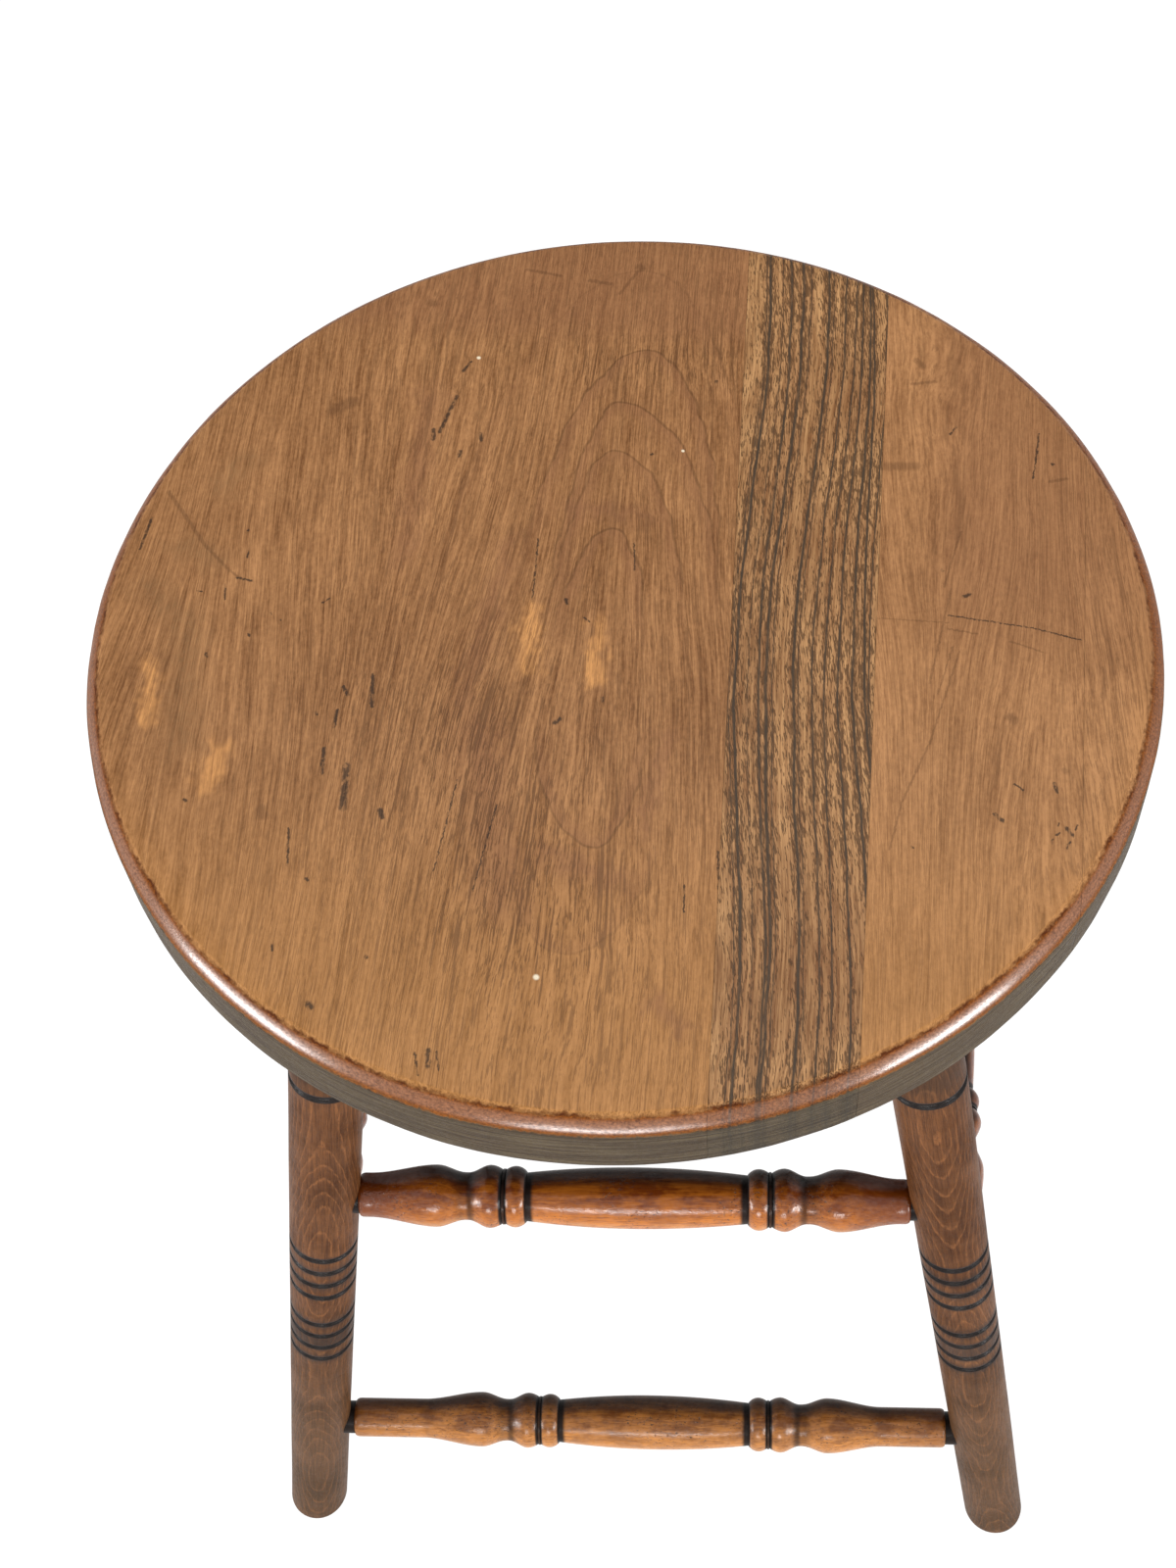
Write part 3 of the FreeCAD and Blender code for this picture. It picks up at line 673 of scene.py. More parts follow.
def calculate_vector(operation, first, second):
    """One step of arithmetic on places and directions."""
    inputs = {0: first, "Scale" if operation == "SCALE" else 1: second}
    node = add_node(tree_of((first, second)), "ShaderNodeVectorMath", inputs, operation=operation)
    return node.outputs["Value" if operation in ("DOT_PRODUCT", "DISTANCE") else "Vector"]


def diagonal(first, second):
    """The long side of a right triangle, from its two short ones."""
    return calculate("SQRT", add(multiply(first, first), multiply(second, second)))


def split(place):
    """The three parts of a place."""
    return add_node(place.id_data, "ShaderNodeSeparateXYZ", {"Vector": place}).outputs


def join(x, y=0.0, z=0.0):
    """A place from its three parts."""
    return add_node(x.id_data, "ShaderNodeCombineXYZ", {"X": x, "Y": y, "Z": z}).outputs[0]


def soft_range(value, start, end, low=0.0, high=1.0):
    """A soft step of a value between two limits. It ends flat, so it needs no clamp."""
    inputs = {"Value": value, "From Min": start, "From Max": end, "To Min": low, "To Max": high}
    settings = {"interpolation_type": "SMOOTHSTEP", "clamp": False}
    node = add_node(value.id_data, "ShaderNodeMapRange", inputs, **settings)
    return node.outputs["Result"]


def blend(share, first, second):
    """Mix two colours."""
    inputs = {"Factor": share}
    for number, colour in ((6, first), (7, second)):
        inputs[number] = colour if isinstance(colour, bpy.types.NodeSocket) else (*colour, 1.0)
    return add_node(share.id_data, "ShaderNodeMix", inputs, data_type="RGBA").outputs[2]


def random_field(place, detail=2.0, rough=0.5, warp=0.0):
    """Soft noise from nought to one, about one half."""
    inputs = {"Vector": place, "Scale": 1.0, "Detail": detail, "Roughness": rough, "Distortion": warp}
    return add_node(place.id_data, "ShaderNodeTexNoise", inputs).outputs["Fac"]


def stretch(place, across, along, depth):
    """Scale a place by the size of the pattern across, along and through the wood."""
    return calculate_vector("DIVIDE", place, (across, along, depth))


def attribute(tree, name, output="Fac"):
    """A value stored on the mesh."""
    return add_node(tree, "ShaderNodeAttribute", attribute_name=name).outputs[output]


def socket_label(key):
    """The name of a group's socket, from its name in the code."""
    return key.replace("_", " ").title()


def use_group(name, **inputs):
    """Place a node group, with its own values, and return its outputs."""
    group = bpy.data.node_groups[name]
    node = add_node(tree_of(inputs.values()), "ShaderNodeGroup", node_tree=group)
    fill_sockets(node.inputs, {socket_label(key): value for key, value in inputs.items()})
    return node.outputs


# Node groups. Each function takes a group's inputs, in millimetres, and returns its outputs

def grain_lean(place, lean=0.12, middle=0.0, period=130.0):
    """Bend the grain: fibres lean one way and the other across the board, most at its middle."""
    parts = split(place)
    turn = divide(subtract(parts["X"], middle), period)
    swing = multiply(calculate("SINE", multiply(turn, 2 * math.pi)), lean)
    reach = multiply(calculate("ARCTANGENT", divide(parts["Y"], 60.0)), 60.0)
    return {"Place": calculate_vector("ADD", place, join(multiply(swing, reach)))}


def wood_fibres(place, width=0.8, length=26.0):
    """Fibres along the grain: soft streaks, and thin dark strokes that come in clusters."""
    shift = multiply(random_field(stretch(place, 30, 70, 30)), 4.0)
    moved = calculate_vector("ADD", place, join(shift, 0.0, shift))
    scaled = calculate_vector("DIVIDE", moved, join(width, length, width))
    fine = random_field(scaled, 4.0, 0.65)
    thin = random_field(calculate_vector("SCALE", scaled, 1.6), 2.0, 0.6)
    cluster = random_field(calculate_vector("SCALE", scaled, 0.3))
    over = subtract(thin, multiply_add(cluster, -0.45, 0.78))
    return {"Tone": soft_range(fine, 0.3, 0.7), "Strokes": soft_range(over, 0.0, 0.09)}


def growth_rings(place, pith_across=0.0, pith_depth=30.0, spacing=4.0, wander=1.0):
    """Growth rings cut by the surface, from the distance to a pith beside or under the piece."""
    ragged = random_field(stretch(place, 14, 34, 14), 3.0, 0.55)
    bumpy = multiply(subtract(ragged, 0.5), wander)
    across = subtract(split(place)["X"], pith_across)
    turns = calculate("FRACT", divide(add(diagonal(across, pith_depth), bumpy), spacing))
    line = multiply(soft_range(turns, 0.72, 0.9), soft_range(turns, 0.9, 1.0, 1.0, 0.0))
    return {"Tone": calculate("POWER", turns, 1.6), "Line": line}


def open_pores(place, width=0.35, length=4.0, amount=0.4):
    """Open pores: short dark dashes along the grain."""
    field = random_field(calculate_vector("DIVIDE", place, join(width, length, width)), 1.5)
    over = subtract(field, subtract(0.8, multiply(amount, 0.4)))
    return {"Pores": soft_range(over, 0.0, 0.08)}


def arch(place, top, left=20.0, right=20.0, length=100.0):
    """One arch of the figure: a thin line on half of a long oval, and the band inside it."""
    parts = split(calculate_vector("SUBTRACT", place, top))
    is_right = calculate("GREATER_THAN", parts["X"], 0.0)
    width = multiply_add(is_right, subtract(right, left), left)
    across = divide(parts["X"], width)
    down = add(divide(parts["Y"], length), 1.0)
    reach = diagonal(across, down)
    slope = diagonal(divide(across, width), divide(down, length))
    away = divide(multiply(subtract(reach, 1.0), reach), slope)
    fade = soft_range(down, 0.1, 0.7)
    line = soft_range(calculate("ABSOLUTE", away), 0.65, 0.15)
    inside = multiply(soft_range(away, -7.0, -0.4), soft_range(away, 0.0, -0.5))
    return {"Line": multiply(line, fade), "Inside": multiply(inside, fade)}


def roughen(place, grain=1.0, amount=0.5):
    """Shift a place a little and at random, so that the edges of marks there come out ragged."""
    scaled = calculate_vector("DIVIDE", place, calculate_vector("SCALE", (1, 1.6, 1), grain))
    across = subtract(random_field(scaled, 2.0, 0.6), 0.5)
    along = subtract(random_field(calculate_vector("ADD", scaled, (7, 3, 5))), 0.5)
    shift = calculate_vector("SCALE", join(across, along), multiply(amount, 2.0))
    return {"Place": calculate_vector("ADD", place, shift)}


def mark(place, start, end, reach=0.4, core=0.3):
    """A dent, scratch or patch: a soft-edged line from one place to another."""
    run = calculate_vector("SUBTRACT", end, start)
    offset = calculate_vector("SUBTRACT", place, start)
    share = divide(calculate_vector("DOT_PRODUCT", offset, run), calculate_vector("DOT_PRODUCT", run, run))
    share = calculate("MINIMUM", maximum(share, 0.0), 1.0)
    away = calculate_vector("DISTANCE", offset, calculate_vector("SCALE", run, share))
    return {"Mask": soft_range(away, reach, multiply(reach, core))}


def strip_line(across=0.0, along=0.0, middle=0.0, drift=0.0, reach=0.5):
    """One long dark line of the strip, and the zone of pores beside it."""
    line_place = multiply_add(drift, divide(along, 100.0), middle)
    away = calculate("ABSOLUTE", subtract(across, line_place))
    line = soft_range(away, multiply(reach, 1.2), multiply(reach, 0.25))
    return {"Line": line, "Near": soft_range(away, multiply(reach, 7.0), 0.0)}


def blotches(place, size=30.0):
    """Soft blotches, where polish and dirt have gathered or worn off, and a fine mottle."""
    scaled = calculate_vector("DIVIDE", place, calculate_vector("SCALE", (1, 1, 1), size))
    wide = random_field(scaled, 3.0, 0.55, 0.3)
    fine = random_field(stretch(place, 1.3, 2.0, 1.3), 3.0, 0.6)
    return {"Patches": soft_range(wide, 0.32, 0.68), "Mottle": soft_range(fine, 0.3, 0.7)}


def rim_wear(place, rim=0.0):
    """Wear of the seat's edge: a dark line inside it, a rubbed band over it, and the dark, streaked side.
    """
    rough = random_field(stretch(place, 1.6, 1.6, 1.6), 3.0, 0.6)
    edge = add(rim, multiply_add(rough, 2.4, -1.2))
    slow = random_field(stretch(place, 18, 18, 18))
    past = subtract(edge, multiply_add(slow, 2.4, 0.7))
    line = multiply(soft_range(past, -1.3, -0.1), soft_range(past, 1.5, 0.3))
    parted = random_field(stretch(place, 6, 6, 6), 3.0, 0.6)
    line = multiply(line, soft_range(parted, 0.35, 0.6, 0.25, 1.0))
    band = multiply(soft_range(past, 0.0, 0.6), soft_range(edge, 9.6, 8.4))
    grains = random_field(stretch(place, 0.9, 0.8, 0.5), 4.0, 0.7)
    # Streaks run round the side, and along the grain on the underside
    around = random_field(stretch(place, 30, 30, 0.62), 3.0, 0.65)
    along = random_field(stretch(place, 1.1, 45, 1.1), 3.0, 0.65)
    below = soft_range(split(place)["Z"], 433.6, 433.1)
    streaks = multiply_add(along, below, multiply(around, subtract(1.0, below)))
    return {"Line": line, "Band": band, "Side": soft_range(edge, 8.4, 9.4),
            "Grains": soft_range(grains, 0.3, 0.7), "Streaks": soft_range(streaks, 0.36, 0.64)}


GROUPS = {
    "Grain Lean": grain_lean, "Wood Fibres": wood_fibres, "Growth Rings": growth_rings,
    "Open Pores": open_pores, "Arch": arch, "Roughen": roughen, "Mark": mark, "Strip Line": strip_line,
    "Patches": blotches, "Rim Wear": rim_wear,
}


def make_group(name, describe):
    """Build a node group from its function. An input without a default is a place."""
    tree = bpy.data.node_groups.new(name, "ShaderNodeTree")
    keys = inspect.signature(describe).parameters
    for key, item in keys.items():
        is_place = item.default is item.empty
        kind = "NodeSocketVector" if is_place else "NodeSocketFloat"
        socket = tree.interface.new_socket(socket_label(key), in_out="INPUT", socket_type=kind)
        if not is_place:
            socket.default_value = item.default
    given = tree.nodes.new("NodeGroupInput").outputs
    results = describe(*[given[socket_label(key)] for key in keys])
    for label, value in results.items():
        kind = "NodeSocketVector" if value.type == "VECTOR" else "NodeSocketFloat"
        tree.interface.new_socket(label, in_out="OUTPUT", socket_type=kind)
    fill_sockets(tree.nodes.new("NodeGroupOutput").inputs, results)


def empty_tree(owner):
    """The node tree of a material or world, with nothing in it."""
    owner.use_nodes = True
    owner.node_tree.nodes.clear()
    return owner.node_tree


def new_material(name):
    """An empty material with its shader. Returns the material, its tree and the shader."""
    material = bpy.data.materials.new(name)
    tree = empty_tree(material)
    shader = tree.nodes.new("ShaderNodeBsdfPrincipled")
    add_node(tree, "ShaderNodeOutputMaterial", {"Surface": shader.outputs[0]})
    return material, tree, shader


def bump_normal(height, depth):
    """The surface's direction, shaped by a height in millimetres."""
    inputs = {"Height": height, "Distance": depth * MM, "Strength": 1.0}
    return add_node(height.id_data, "ShaderNodeBump", inputs).outputs["Normal"]


# Top of the seat, where the marks lie, and middle of the strip across the grain, in millimetres
SEAT_TOP, STRIP_MIDDLE = 460, 58.6
# Marks of the wide board, in millimetres across and along its grain: start, end and half width
DARK_MARKS = (
    (-125, 12.2, -119.7, 11.2, 0.6), (-128.3, 9.5, -127.3, 3.5, 0.4), (-137, 6.3, -135, 6, 0.45),
    (-95.5, 3.8, -93.5, 5.5, 0.5), (-157.5, 35, -159, 22, 0.7), (-62.5, 103, -60, 107.5, 0.7),
    (-63, 92, -67, 76, 1.0), (-69.2, 77, -68.5, 73, 1.2), (-53, 76, -52.5, 73, 0.9),
    (-59, 68, -58.8, 66, 1.1), (-17.6, 9.4, -17.2, 7.9, 0.9), (-11.2, 2.7, -9.2, 1, 0.5),
    (-2.8, -27.5, -2.6, -28.5, 0.8), (-16.5, -37.5, -15, -36, 1.0), (-84, -28, -82, -31, 0.9),
    (-84.5, -37, -84.6, -43, 0.8), (-75.3, -23, -74, -35, 0.9), (-86.5, -51, -85.8, -60, 0.9),
    (-78.5, -57, -77.5, -72, 1.7), (-66, -72, -65, -74.5, 1.3), (-91, -38, -90.7, -38.6, 0.7),
    (-126.5, -72, -126, -72.3, 0.9), (-129.6, -18, -129.2, -19, 0.8), (-84.7, -97, -84.2, -97.4, 0.8),
    (-63.2, -121.6, -62.8, -122, 0.8), (-77.6, -138, -76.8, -139, 1.5),
    (-91.2, -119.8, -91, -121.4, 0.6), (-41, -150, -40.4, -155, 1.1),
    (-38.5, -150.5, -37.3, -156, 0.5), (-44.8, -151, -43, -158, 0.5),
    (-111.5, -1.2, -111.4, -1.5, 0.5), (-108, -3.4, -107.8, -3.7, 0.5),
    (-117.2, -9.6, -117, -10.4, 0.6), (-124.6, 31.2, -124.4, 31.8, 0.5),
    (-123.1, 20.6, -122.9, 23, 0.45), (24, 102.2, 24.1, 102.8, 0.7), (4.8, 69.8, 5.1, 70.2, 0.6),
    (-29, 33, -28.3, 8, 0.4), (2.2, 33, 3.2, 22, 0.4), (-92.8, -80, -91, -93, 0.45),
    (-47, -92, -44, -60, 0.35), (-34.6, -98, -31, -68, 0.35), (27.5, -92, 28, -101, 0.45),
    (36.6, -80, 38.2, -100, 0.5),
)
# Its fainter ones
FAINT_MARKS = (
    (-154, 46, -147, 37, 1.0), (-147, 37, -138, 25, 1.0), (-138, 25, -128, 15, 0.9),
    (-128, 15, -124.5, 12.5, 0.7), (-45.5, 151, -33, 148.5, 0.9), (-23, 146.8, -15.5, 145.5, 1.1),
    (-6.2, 154, -5.2, 153.2, 2.0), (-77.4, 134, -76.6, 133.8, 2.4), (-102.2, -74, -101.6, -76, 2.6),
    (-28, 121, -27.6, 134, 0.5), (-10, 130, -9.4, 122, 0.5), (-104, 84, -98, 88, 3.2),
    (-49.5, 112, -48.5, 120, 0.5), (-12, 141, -6.5, 152, 0.8),
)
# The same for the board right of the strip
RIGHT_DARK_MARKS = (
    (103, 9.8, 118, 7.9, 0.4), (118, 7.9, 129, 6.4, 0.4), (129, 6.4, 144, 2.6, 0.4),
    (109.4, 18.3, 107.6, 17.3, 1.0), (117.4, -62, 119.8, -64.2, 0.9), (123.4, -51.2, 126, -53.2, 0.5),
    (135.2, -50.4, 135.8, -53.2, 0.9), (134.6, -69.6, 134.2, -71, 0.45),
    (136.4, -67.4, 135.4, -68.4, 0.45), (138.6, -65.6, 140.4, -68.2, 0.8),
    (141.8, -64.6, 141.2, -66, 0.45), (139.4, -70.4, 138.6, -72.6, 0.5),
    (136.4, -63.8, 136.2, -65, 0.4), (131.4, 85, 130.2, 73, 0.5), (130.2, 73, 129.4, 66, 0.35),
    (102.4, 83.4, 104.4, 86.6, 0.6), (135.6, 72.4, 135.9, 72.1, 0.7), (100.6, 27.4, 100.9, 27.1, 0.8),
    (93.4, -74.8, 93.6, -75.1, 0.6),
)
RIGHT_FAINT_MARKS = (
    (89.5, 104.6, 97.5, 106, 0.9), (90.8, 115, 93, 112.4, 1.8), (79, 7.6, 103, 7, 0.35),
    (103, 4.6, 112, 3.2, 0.5), (122, 1, 132, -2.6, 0.5), (122.2, -27.2, 123.4, -28.4, 2.2),
    (138.2, -45.4, 138.5, -45.8, 1.4), (97.6, -16, 103.6, 20, 0.5), (101.4, 21, 106.4, 43, 0.5),
    (100.2, -20, 104.4, -2, 0.4), (134.6, 65, 140, 66.4, 0.9), (81.5, 68.6, 91.5, 69.4, 2.6),
    (106.5, -4, 98, -38, 0.5), (98, -38, 90, -60, 0.5), (90, -60, 87, -76, 0.5),
)
# Patches of the wide board, in the same way: rubbed, greyed and browned
LIGHT_PATCHES = (
    (-28.6, 4, -27.4, -18, 6.5), (-6.6, 0, -5.6, -20, 5.0), (-147, -24, -143, -44, 5.0),
    (-119, -54, -121, -66, 6.5),
)
GREY_PATCHES = (
    (-138, -6, -131, -52, 13.0), (-152, 6, -138, -8, 11.0), (-131, 60, -136, 50, 9.0),
    (-146, 24, -134, 20, 9.0),
)
BROWN_PATCHES = (
    (23, -131, 31, -139, 7.0), (-16, -84, 8, -92, 9.0), (-72, 92, -72, 24, 10.0),
    (-38, 30, -46, -32, 8.0), (-40, -40, -26, -100, 16.0), (-20, 46, 6, 44, 8.0),
    (18, -40, 14, -74, 6.0),
)
# Where the dark fibres of the wide board are strongest
STROKE_PATCHES = (
    (-45, -45, -20, -105, 60.0), (-20, 108, 20, 112, 22.0),
)
# Specks of old paint
PALE_DOTS = (
    (-57.7, 109.5, -57.6, 109.4, 0.9), (-12.9, -125, -12.8, -125.1, 1.2), (15, 72, 15.1, 71.9, 0.7),
)
# Arches of the figure: the top of each, its half width to the left and right, and its length down or up
ARCHES = (
    (-1, 115.5, 35, 34, 137, 0.9), (-8, 92, 16, 41, 114, 0.9), (-8, 71, 15, 30, 92, 0.8),
    (-6, 38.5, 15, 15, 60, 0.9), (0, -81, 24, 14, -60, 0.8), (-5, -117, 24, 26, -60, 0.4),
    (-4, 152, 62, 50, 210, 0.3),
)
# Long dark lines of the strip: place across it, drift over 100 mm along it, half width and strength
STRIP_LINES = (
    (-19.8, -1.0, 0.3, 0.5), (-18.3, -1.2, 0.55, 1.0), (-14.4, -0.8, 0.2, 0.5),
    (-11.1, -1.1, 0.5, 0.85), (-8.6, 0.0, 0.6, 0.95), (-6.6, 0.4, 0.25, 0.6), (0.0, 0.0, 0.55, 1.0),
    (1.5, 0.1, 0.22, 0.6), (5.8, 0.0, 0.35, 0.85), (9.5, 0.0, 0.35, 0.8), (13.5, -1.2, 0.4, 0.9),
    (17.8, -2.5, 0.5, 0.95), (21.2, -4.2, 0.45, 0.95), (22.8, -2.0, 0.25, 0.8),
)


def marks(place, rows, core=0.3):
    """The strongest of several marks."""
    strongest = None
    for start_x, start_y, end_x, end_y, reach in rows:
        start, end = (start_x, start_y, SEAT_TOP), (end_x, end_y, SEAT_TOP)
        mask = use_group("Mark", place=place, start=start, end=end, reach=reach, core=core)[0]
        strongest = mask if strongest is None else maximum(strongest, mask)
    return strongest


def seat_material(board, finish):
    """Worn, stained wood of one seat board, with its rubbed rim and dark grey side."""
    material, tree, shader = new_material(f"{board}_board_wood")
    place = attribute(tree, "wood_place", "Vector")
    rim = attribute(tree, "rim")
    wear = use_group("Rim Wear", place=place, rim=rim)
    patches = use_group("Patches", place=place, size=46.0)
    if board == "strip":
        colour, height, dark = strip_wood(place, patches, finish)
    else:
        colour, height = close_wood(board, place, patches, finish)
    colour = blend(wear["Line"], colour, finish.rim_dark)
    rubbed = blend(wear["Grains"], finish.rim_dark, finish.rim_light)
    colour = blend(multiply(wear["Band"], 0.88), colour, rubbed)
    dull = blend(wear["Streaks"], finish.side_dark, finish.side_light)
    colour = blend(multiply(wear["Side"], 0.94), colour, dull)
    if board == "strip":
        colour = blend(multiply(dark, 0.55), colour, finish.strip_dark)
    gloss = multiply_add(patches["Mottle"], 0.14, 0.44)
    gloss = subtract(gloss, multiply(wear["Band"], 0.14))
    # The rubbed crest of the edge shines, most at the front
    ahead = split(place)["Y"]
    polish = multiply(wear["Band"], soft_range(ahead, 20.0, -90.0, 0.05, 1.0))
    crest = multiply(soft_range(rim, 1.8, 4.0), soft_range(rim, 8.6, 6.4))
    polish = multiply(polish, crest)
    polish = multiply(polish, multiply_add(wear["Grains"], 0.6, 0.4))
    height = add(height, multiply(multiply(wear["Streaks"], wear["Side"]), 0.9))
    height = multiply_add(multiply(wear["Grains"], wear["Band"]), 0.1, height)
    fill_sockets(shader.inputs, {
        "Base Color": colour, "Roughness": gloss, "Specular IOR Level": 0.05,
        "Coat Weight": add(polish, 0.03), "Coat Roughness": 0.25, "Coat IOR": 1.85,
        "Normal": bump_normal(height, 0.12)})
    return material


def close_wood(board, place, patches, finish):
    """Colour and height of a close-grained board."""
    parts = split(place)
    is_wide = board == "wide"
    middle, period = (-10.0, 130.0) if is_wide else (135.0, 72.0)
    leaned = use_group("Grain Lean", place=place, lean=0.13, middle=middle, period=period)[0]
    broad = use_group("Wood Fibres", place=leaned, width=3.0, length=90.0)["Tone"]
    fine = use_group("Wood Fibres", place=leaned, width=0.8, length=42.0)
    thin = use_group("Wood Fibres", place=leaned, width=0.42, length=9.0)
    front = soft_range(parts["Y"], -40.0, -145.0, 0.0, 0.1)
    tone = multiply_add(broad, 0.2, 0.0 if is_wide else 0.1)
    for part, weight in ((fine["Tone"], 0.3), (thin["Tone"], 0.27), (patches["Patches"], 0.12),
                         (patches["Mottle"], 0.13)):
        tone = multiply_add(part, weight, tone)
    tone = add(tone, front)
    if board == "edge":
        tone = add(tone, 0.08)
    colour = blend(multiply_add(tone, 1.45, -0.26), finish.seat_middle, finish.seat_light)
    colour = blend(multiply(front, 3.2), colour, finish.seat_front)
    soft = use_group("Roughen", place=place, grain=5.0, amount=7.0)[0]
    crisp = use_group("Roughen", place=place, grain=0.9, amount=0.6)[0]
    soft_y = split(soft)["Y"]
    if is_wide:
        red = soft_range(soft_y, 112.0, 132.0, 0.0, 0.6)
        red = maximum(red, marks(soft, BROWN_PATCHES, -0.6))
        lower = marks(soft, STROKE_PATCHES, -0.3)
        amount = multiply_add(lower, 0.5, soft_range(parts["X"], -125.0, -80.0, 0.3, 0.5))
    else:
        red = multiply(soft_range(soft_y, -40.0, 40.0), soft_range(parts["X"], 88.0, 112.0, 0.1, 0.6))
        amount = soft_range(parts["X"], 140.0, 146.0, 0.35, 0.5)
    colour = blend(multiply(red, 0.7), colour, finish.seat_red)
    if is_wide:
        greyed = multiply(marks(soft, GREY_PATCHES, -0.8), multiply_add(patches["Mottle"], 0.6, 0.15))
        colour = blend(greyed, colour, finish.seat_grey)
        worn = multiply(marks(soft, LIGHT_PATCHES, -0.4), multiply_add(fine["Tone"], 0.8, 0.35))
        colour = blend(worn, colour, finish.worn_patch)
    strokes = multiply(maximum(fine["Strokes"], thin["Strokes"]), amount)
    colour = blend(multiply(strokes, 0.75), colour, finish.seat_dark)
    height = multiply_add(strokes, -0.7, multiply(patches["Mottle"], 0.35))
    if board == "edge":
        return colour, height
    if is_wide:
        colour = add_arches(place, colour, finish)
    dark_rows, faint_rows = (DARK_MARKS, FAINT_MARKS) if is_wide else (RIGHT_DARK_MARKS, RIGHT_FAINT_MARKS)
    colour = blend(multiply(marks(crisp, faint_rows), 0.36), colour, finish.seat_dark)
    broken = soft_range(random_field(stretch(place, 1.1, 2.4, 1.1)), 0.38, 0.5, 0.35)
    dark = multiply(marks(crisp, dark_rows), broken)
    if is_wide:
        colour = blend(marks(place, PALE_DOTS), colour, finish.pale)
    return blend(multiply(dark, 0.78), colour, finish.grime), height


def add_arches(place, colour, finish):
    """The pointed arches in the middle of the wide board."""
    waves = random_field(stretch(place, 9, 12, 9))
    moved = calculate_vector("ADD", place, join(multiply_add(waves, 5.0, -2.5)))
    for top_x, top_y, left, right, reach, strength in ARCHES:
        top = (top_x, top_y, SEAT_TOP)
        parts = use_group("Arch", place=moved, top=top, left=left, right=right, length=reach)
        colour = blend(multiply(parts["Inside"], 0.4 * strength), colour, finish.seat_red)
        colour = blend(multiply(parts["Line"], 0.48 * strength), colour, finish.seat_dark)
    return colour


def strip_wood(place, patches, finish):
    """Colour, height and dark lines of the open-grained strip."""
    parts = split(place)
    # The lines sway slowly from side to side and wobble a little
    bend = calculate("COSINE", divide(add(parts["Y"], 5.0), 41.4))
    sway = multiply_add(parts["Y"], 0.007, multiply(bend, 3.0))
    wobble = random_field(stretch(place, 22, 34, 22))
    sway = add(sway, multiply_add(wobble, 2.4, -1.2))
    across = subtract(add(parts["X"], sway), STRIP_MIDDLE)
    broken = random_field(stretch(place, 1.6, 16, 1.6), 3.0)
    lines, near = None, None
    for middle, drift, reach, strength in STRIP_LINES:
        inputs = {"across": across, "along": parts["Y"], "middle": middle, "drift": drift, "reach": reach}
        line = use_group("Strip Line", **inputs)
        mask = multiply(line["Line"], soft_range(broken, 0.32, 0.48, strength - 0.3, strength))
        lines = mask if lines is None else maximum(lines, mask)
        near = line["Near"] if near is None else maximum(near, line["Near"])
    slanted = join(multiply_add(parts["Y"], 0.1, across), parts["Y"], parts["Z"])
    amount = multiply_add(near, 0.32, 0.52)
    amount = add(amount, multiply_add(patches["Patches"], 0.3, -0.15))
    pores = use_group("Open Pores", place=slanted, width=0.32, length=3.0, amount=amount)[0]
    straight = join(across, parts["Y"], parts["Z"])
    fine = use_group("Wood Fibres", place=straight, width=0.7, length=22.0)
    tone = multiply_add(fine["Tone"], 0.65, multiply(patches["Patches"], 0.35))
    colour = blend(tone, finish.seat_middle, finish.strip_light)
    colour = blend(multiply(near, 0.25), colour, finish.seat_red)
    colour = blend(multiply(fine["Strokes"], 0.35), colour, finish.seat_dark)
    colour = blend(multiply(pores, 0.8), colour, finish.strip_pore)
    colour = blend(multiply(lines, 0.82), colour, finish.strip_dark)
    return colour, multiply(maximum(lines, pores), -1.3), lines


def leg_material(finish):
    """Stained, rather dull turned wood with blackened grooves."""
    material, tree, shader = new_material("leg_wood")
    place = attribute(tree, "wood_place", "Vector")
    up_leg = attribute(tree, "height")
    parts = split(place)
    wave = calculate("SINE", divide(parts["Y"], 31.0))
    depth = add(multiply_add(wave, 6.0, 34.0), parts["Z"])
    rings = use_group(
        "Growth Rings", place=place, pith_across=1.0, pith_depth=depth, spacing=1.9, wander=4.0)
    fibres = use_group("Wood Fibres", place=place, width=1.0, length=30.0)
    thin = use_group("Wood Fibres", place=place, width=0.45, length=9.0)
    patches = use_group("Patches", place=place, size=24.0)
    tone = multiply_add(fibres["Tone"], 0.45, multiply(patches["Patches"], 0.4))
    colour = blend(multiply_add(rings["Tone"], 0.2, tone), finish.leg_dark, finish.leg_light)
    flame = multiply(rings["Line"], soft_range(patches["Mottle"], 0.1, 0.7, 0.1, 0.45))
    colour = blend(flame, colour, finish.leg_flame)
    strokes = maximum(fibres["Strokes"], thin["Strokes"])
    colour = blend(multiply(strokes, 0.5), colour, finish.leg_dark)
    pores = use_group("Open Pores", place=place, width=0.4, length=1.4, amount=0.34)[0]
    colour = blend(multiply(pores, 0.45), colour, finish.grime)
    # Painted shade under the seat: above its black ring the leg darkens towards the seat
    colour = blend(soft_range(up_leg, 350.0, 364.0, 0.0, 0.5), colour, finish.side_dark)
    colour = blend(soft_range(up_leg, 240.0, 60.0, 0.0, 0.32), colour, finish.side_light)
    black = soft_range(attribute(tree, "recess"), 0.0, 0.25, 0.0, 0.96)
    colour = blend(black, colour, finish.grime)
    polish = multiply_add(black, 0.12, multiply(patches["Patches"], 0.1))
    height = multiply_add(strokes, -0.4, multiply(patches["Mottle"], 0.25))
    normal = bump_normal(height, 0.1)
    fill_sockets(shader.inputs, {
        "Base Color": colour, "Roughness": multiply_add(patches["Mottle"], 0.14, 0.4),
        "Specular IOR Level": 0.04, "Coat Weight": polish, "Coat Roughness": 0.3,
        "Normal": normal, "Coat Normal": normal})
    return material


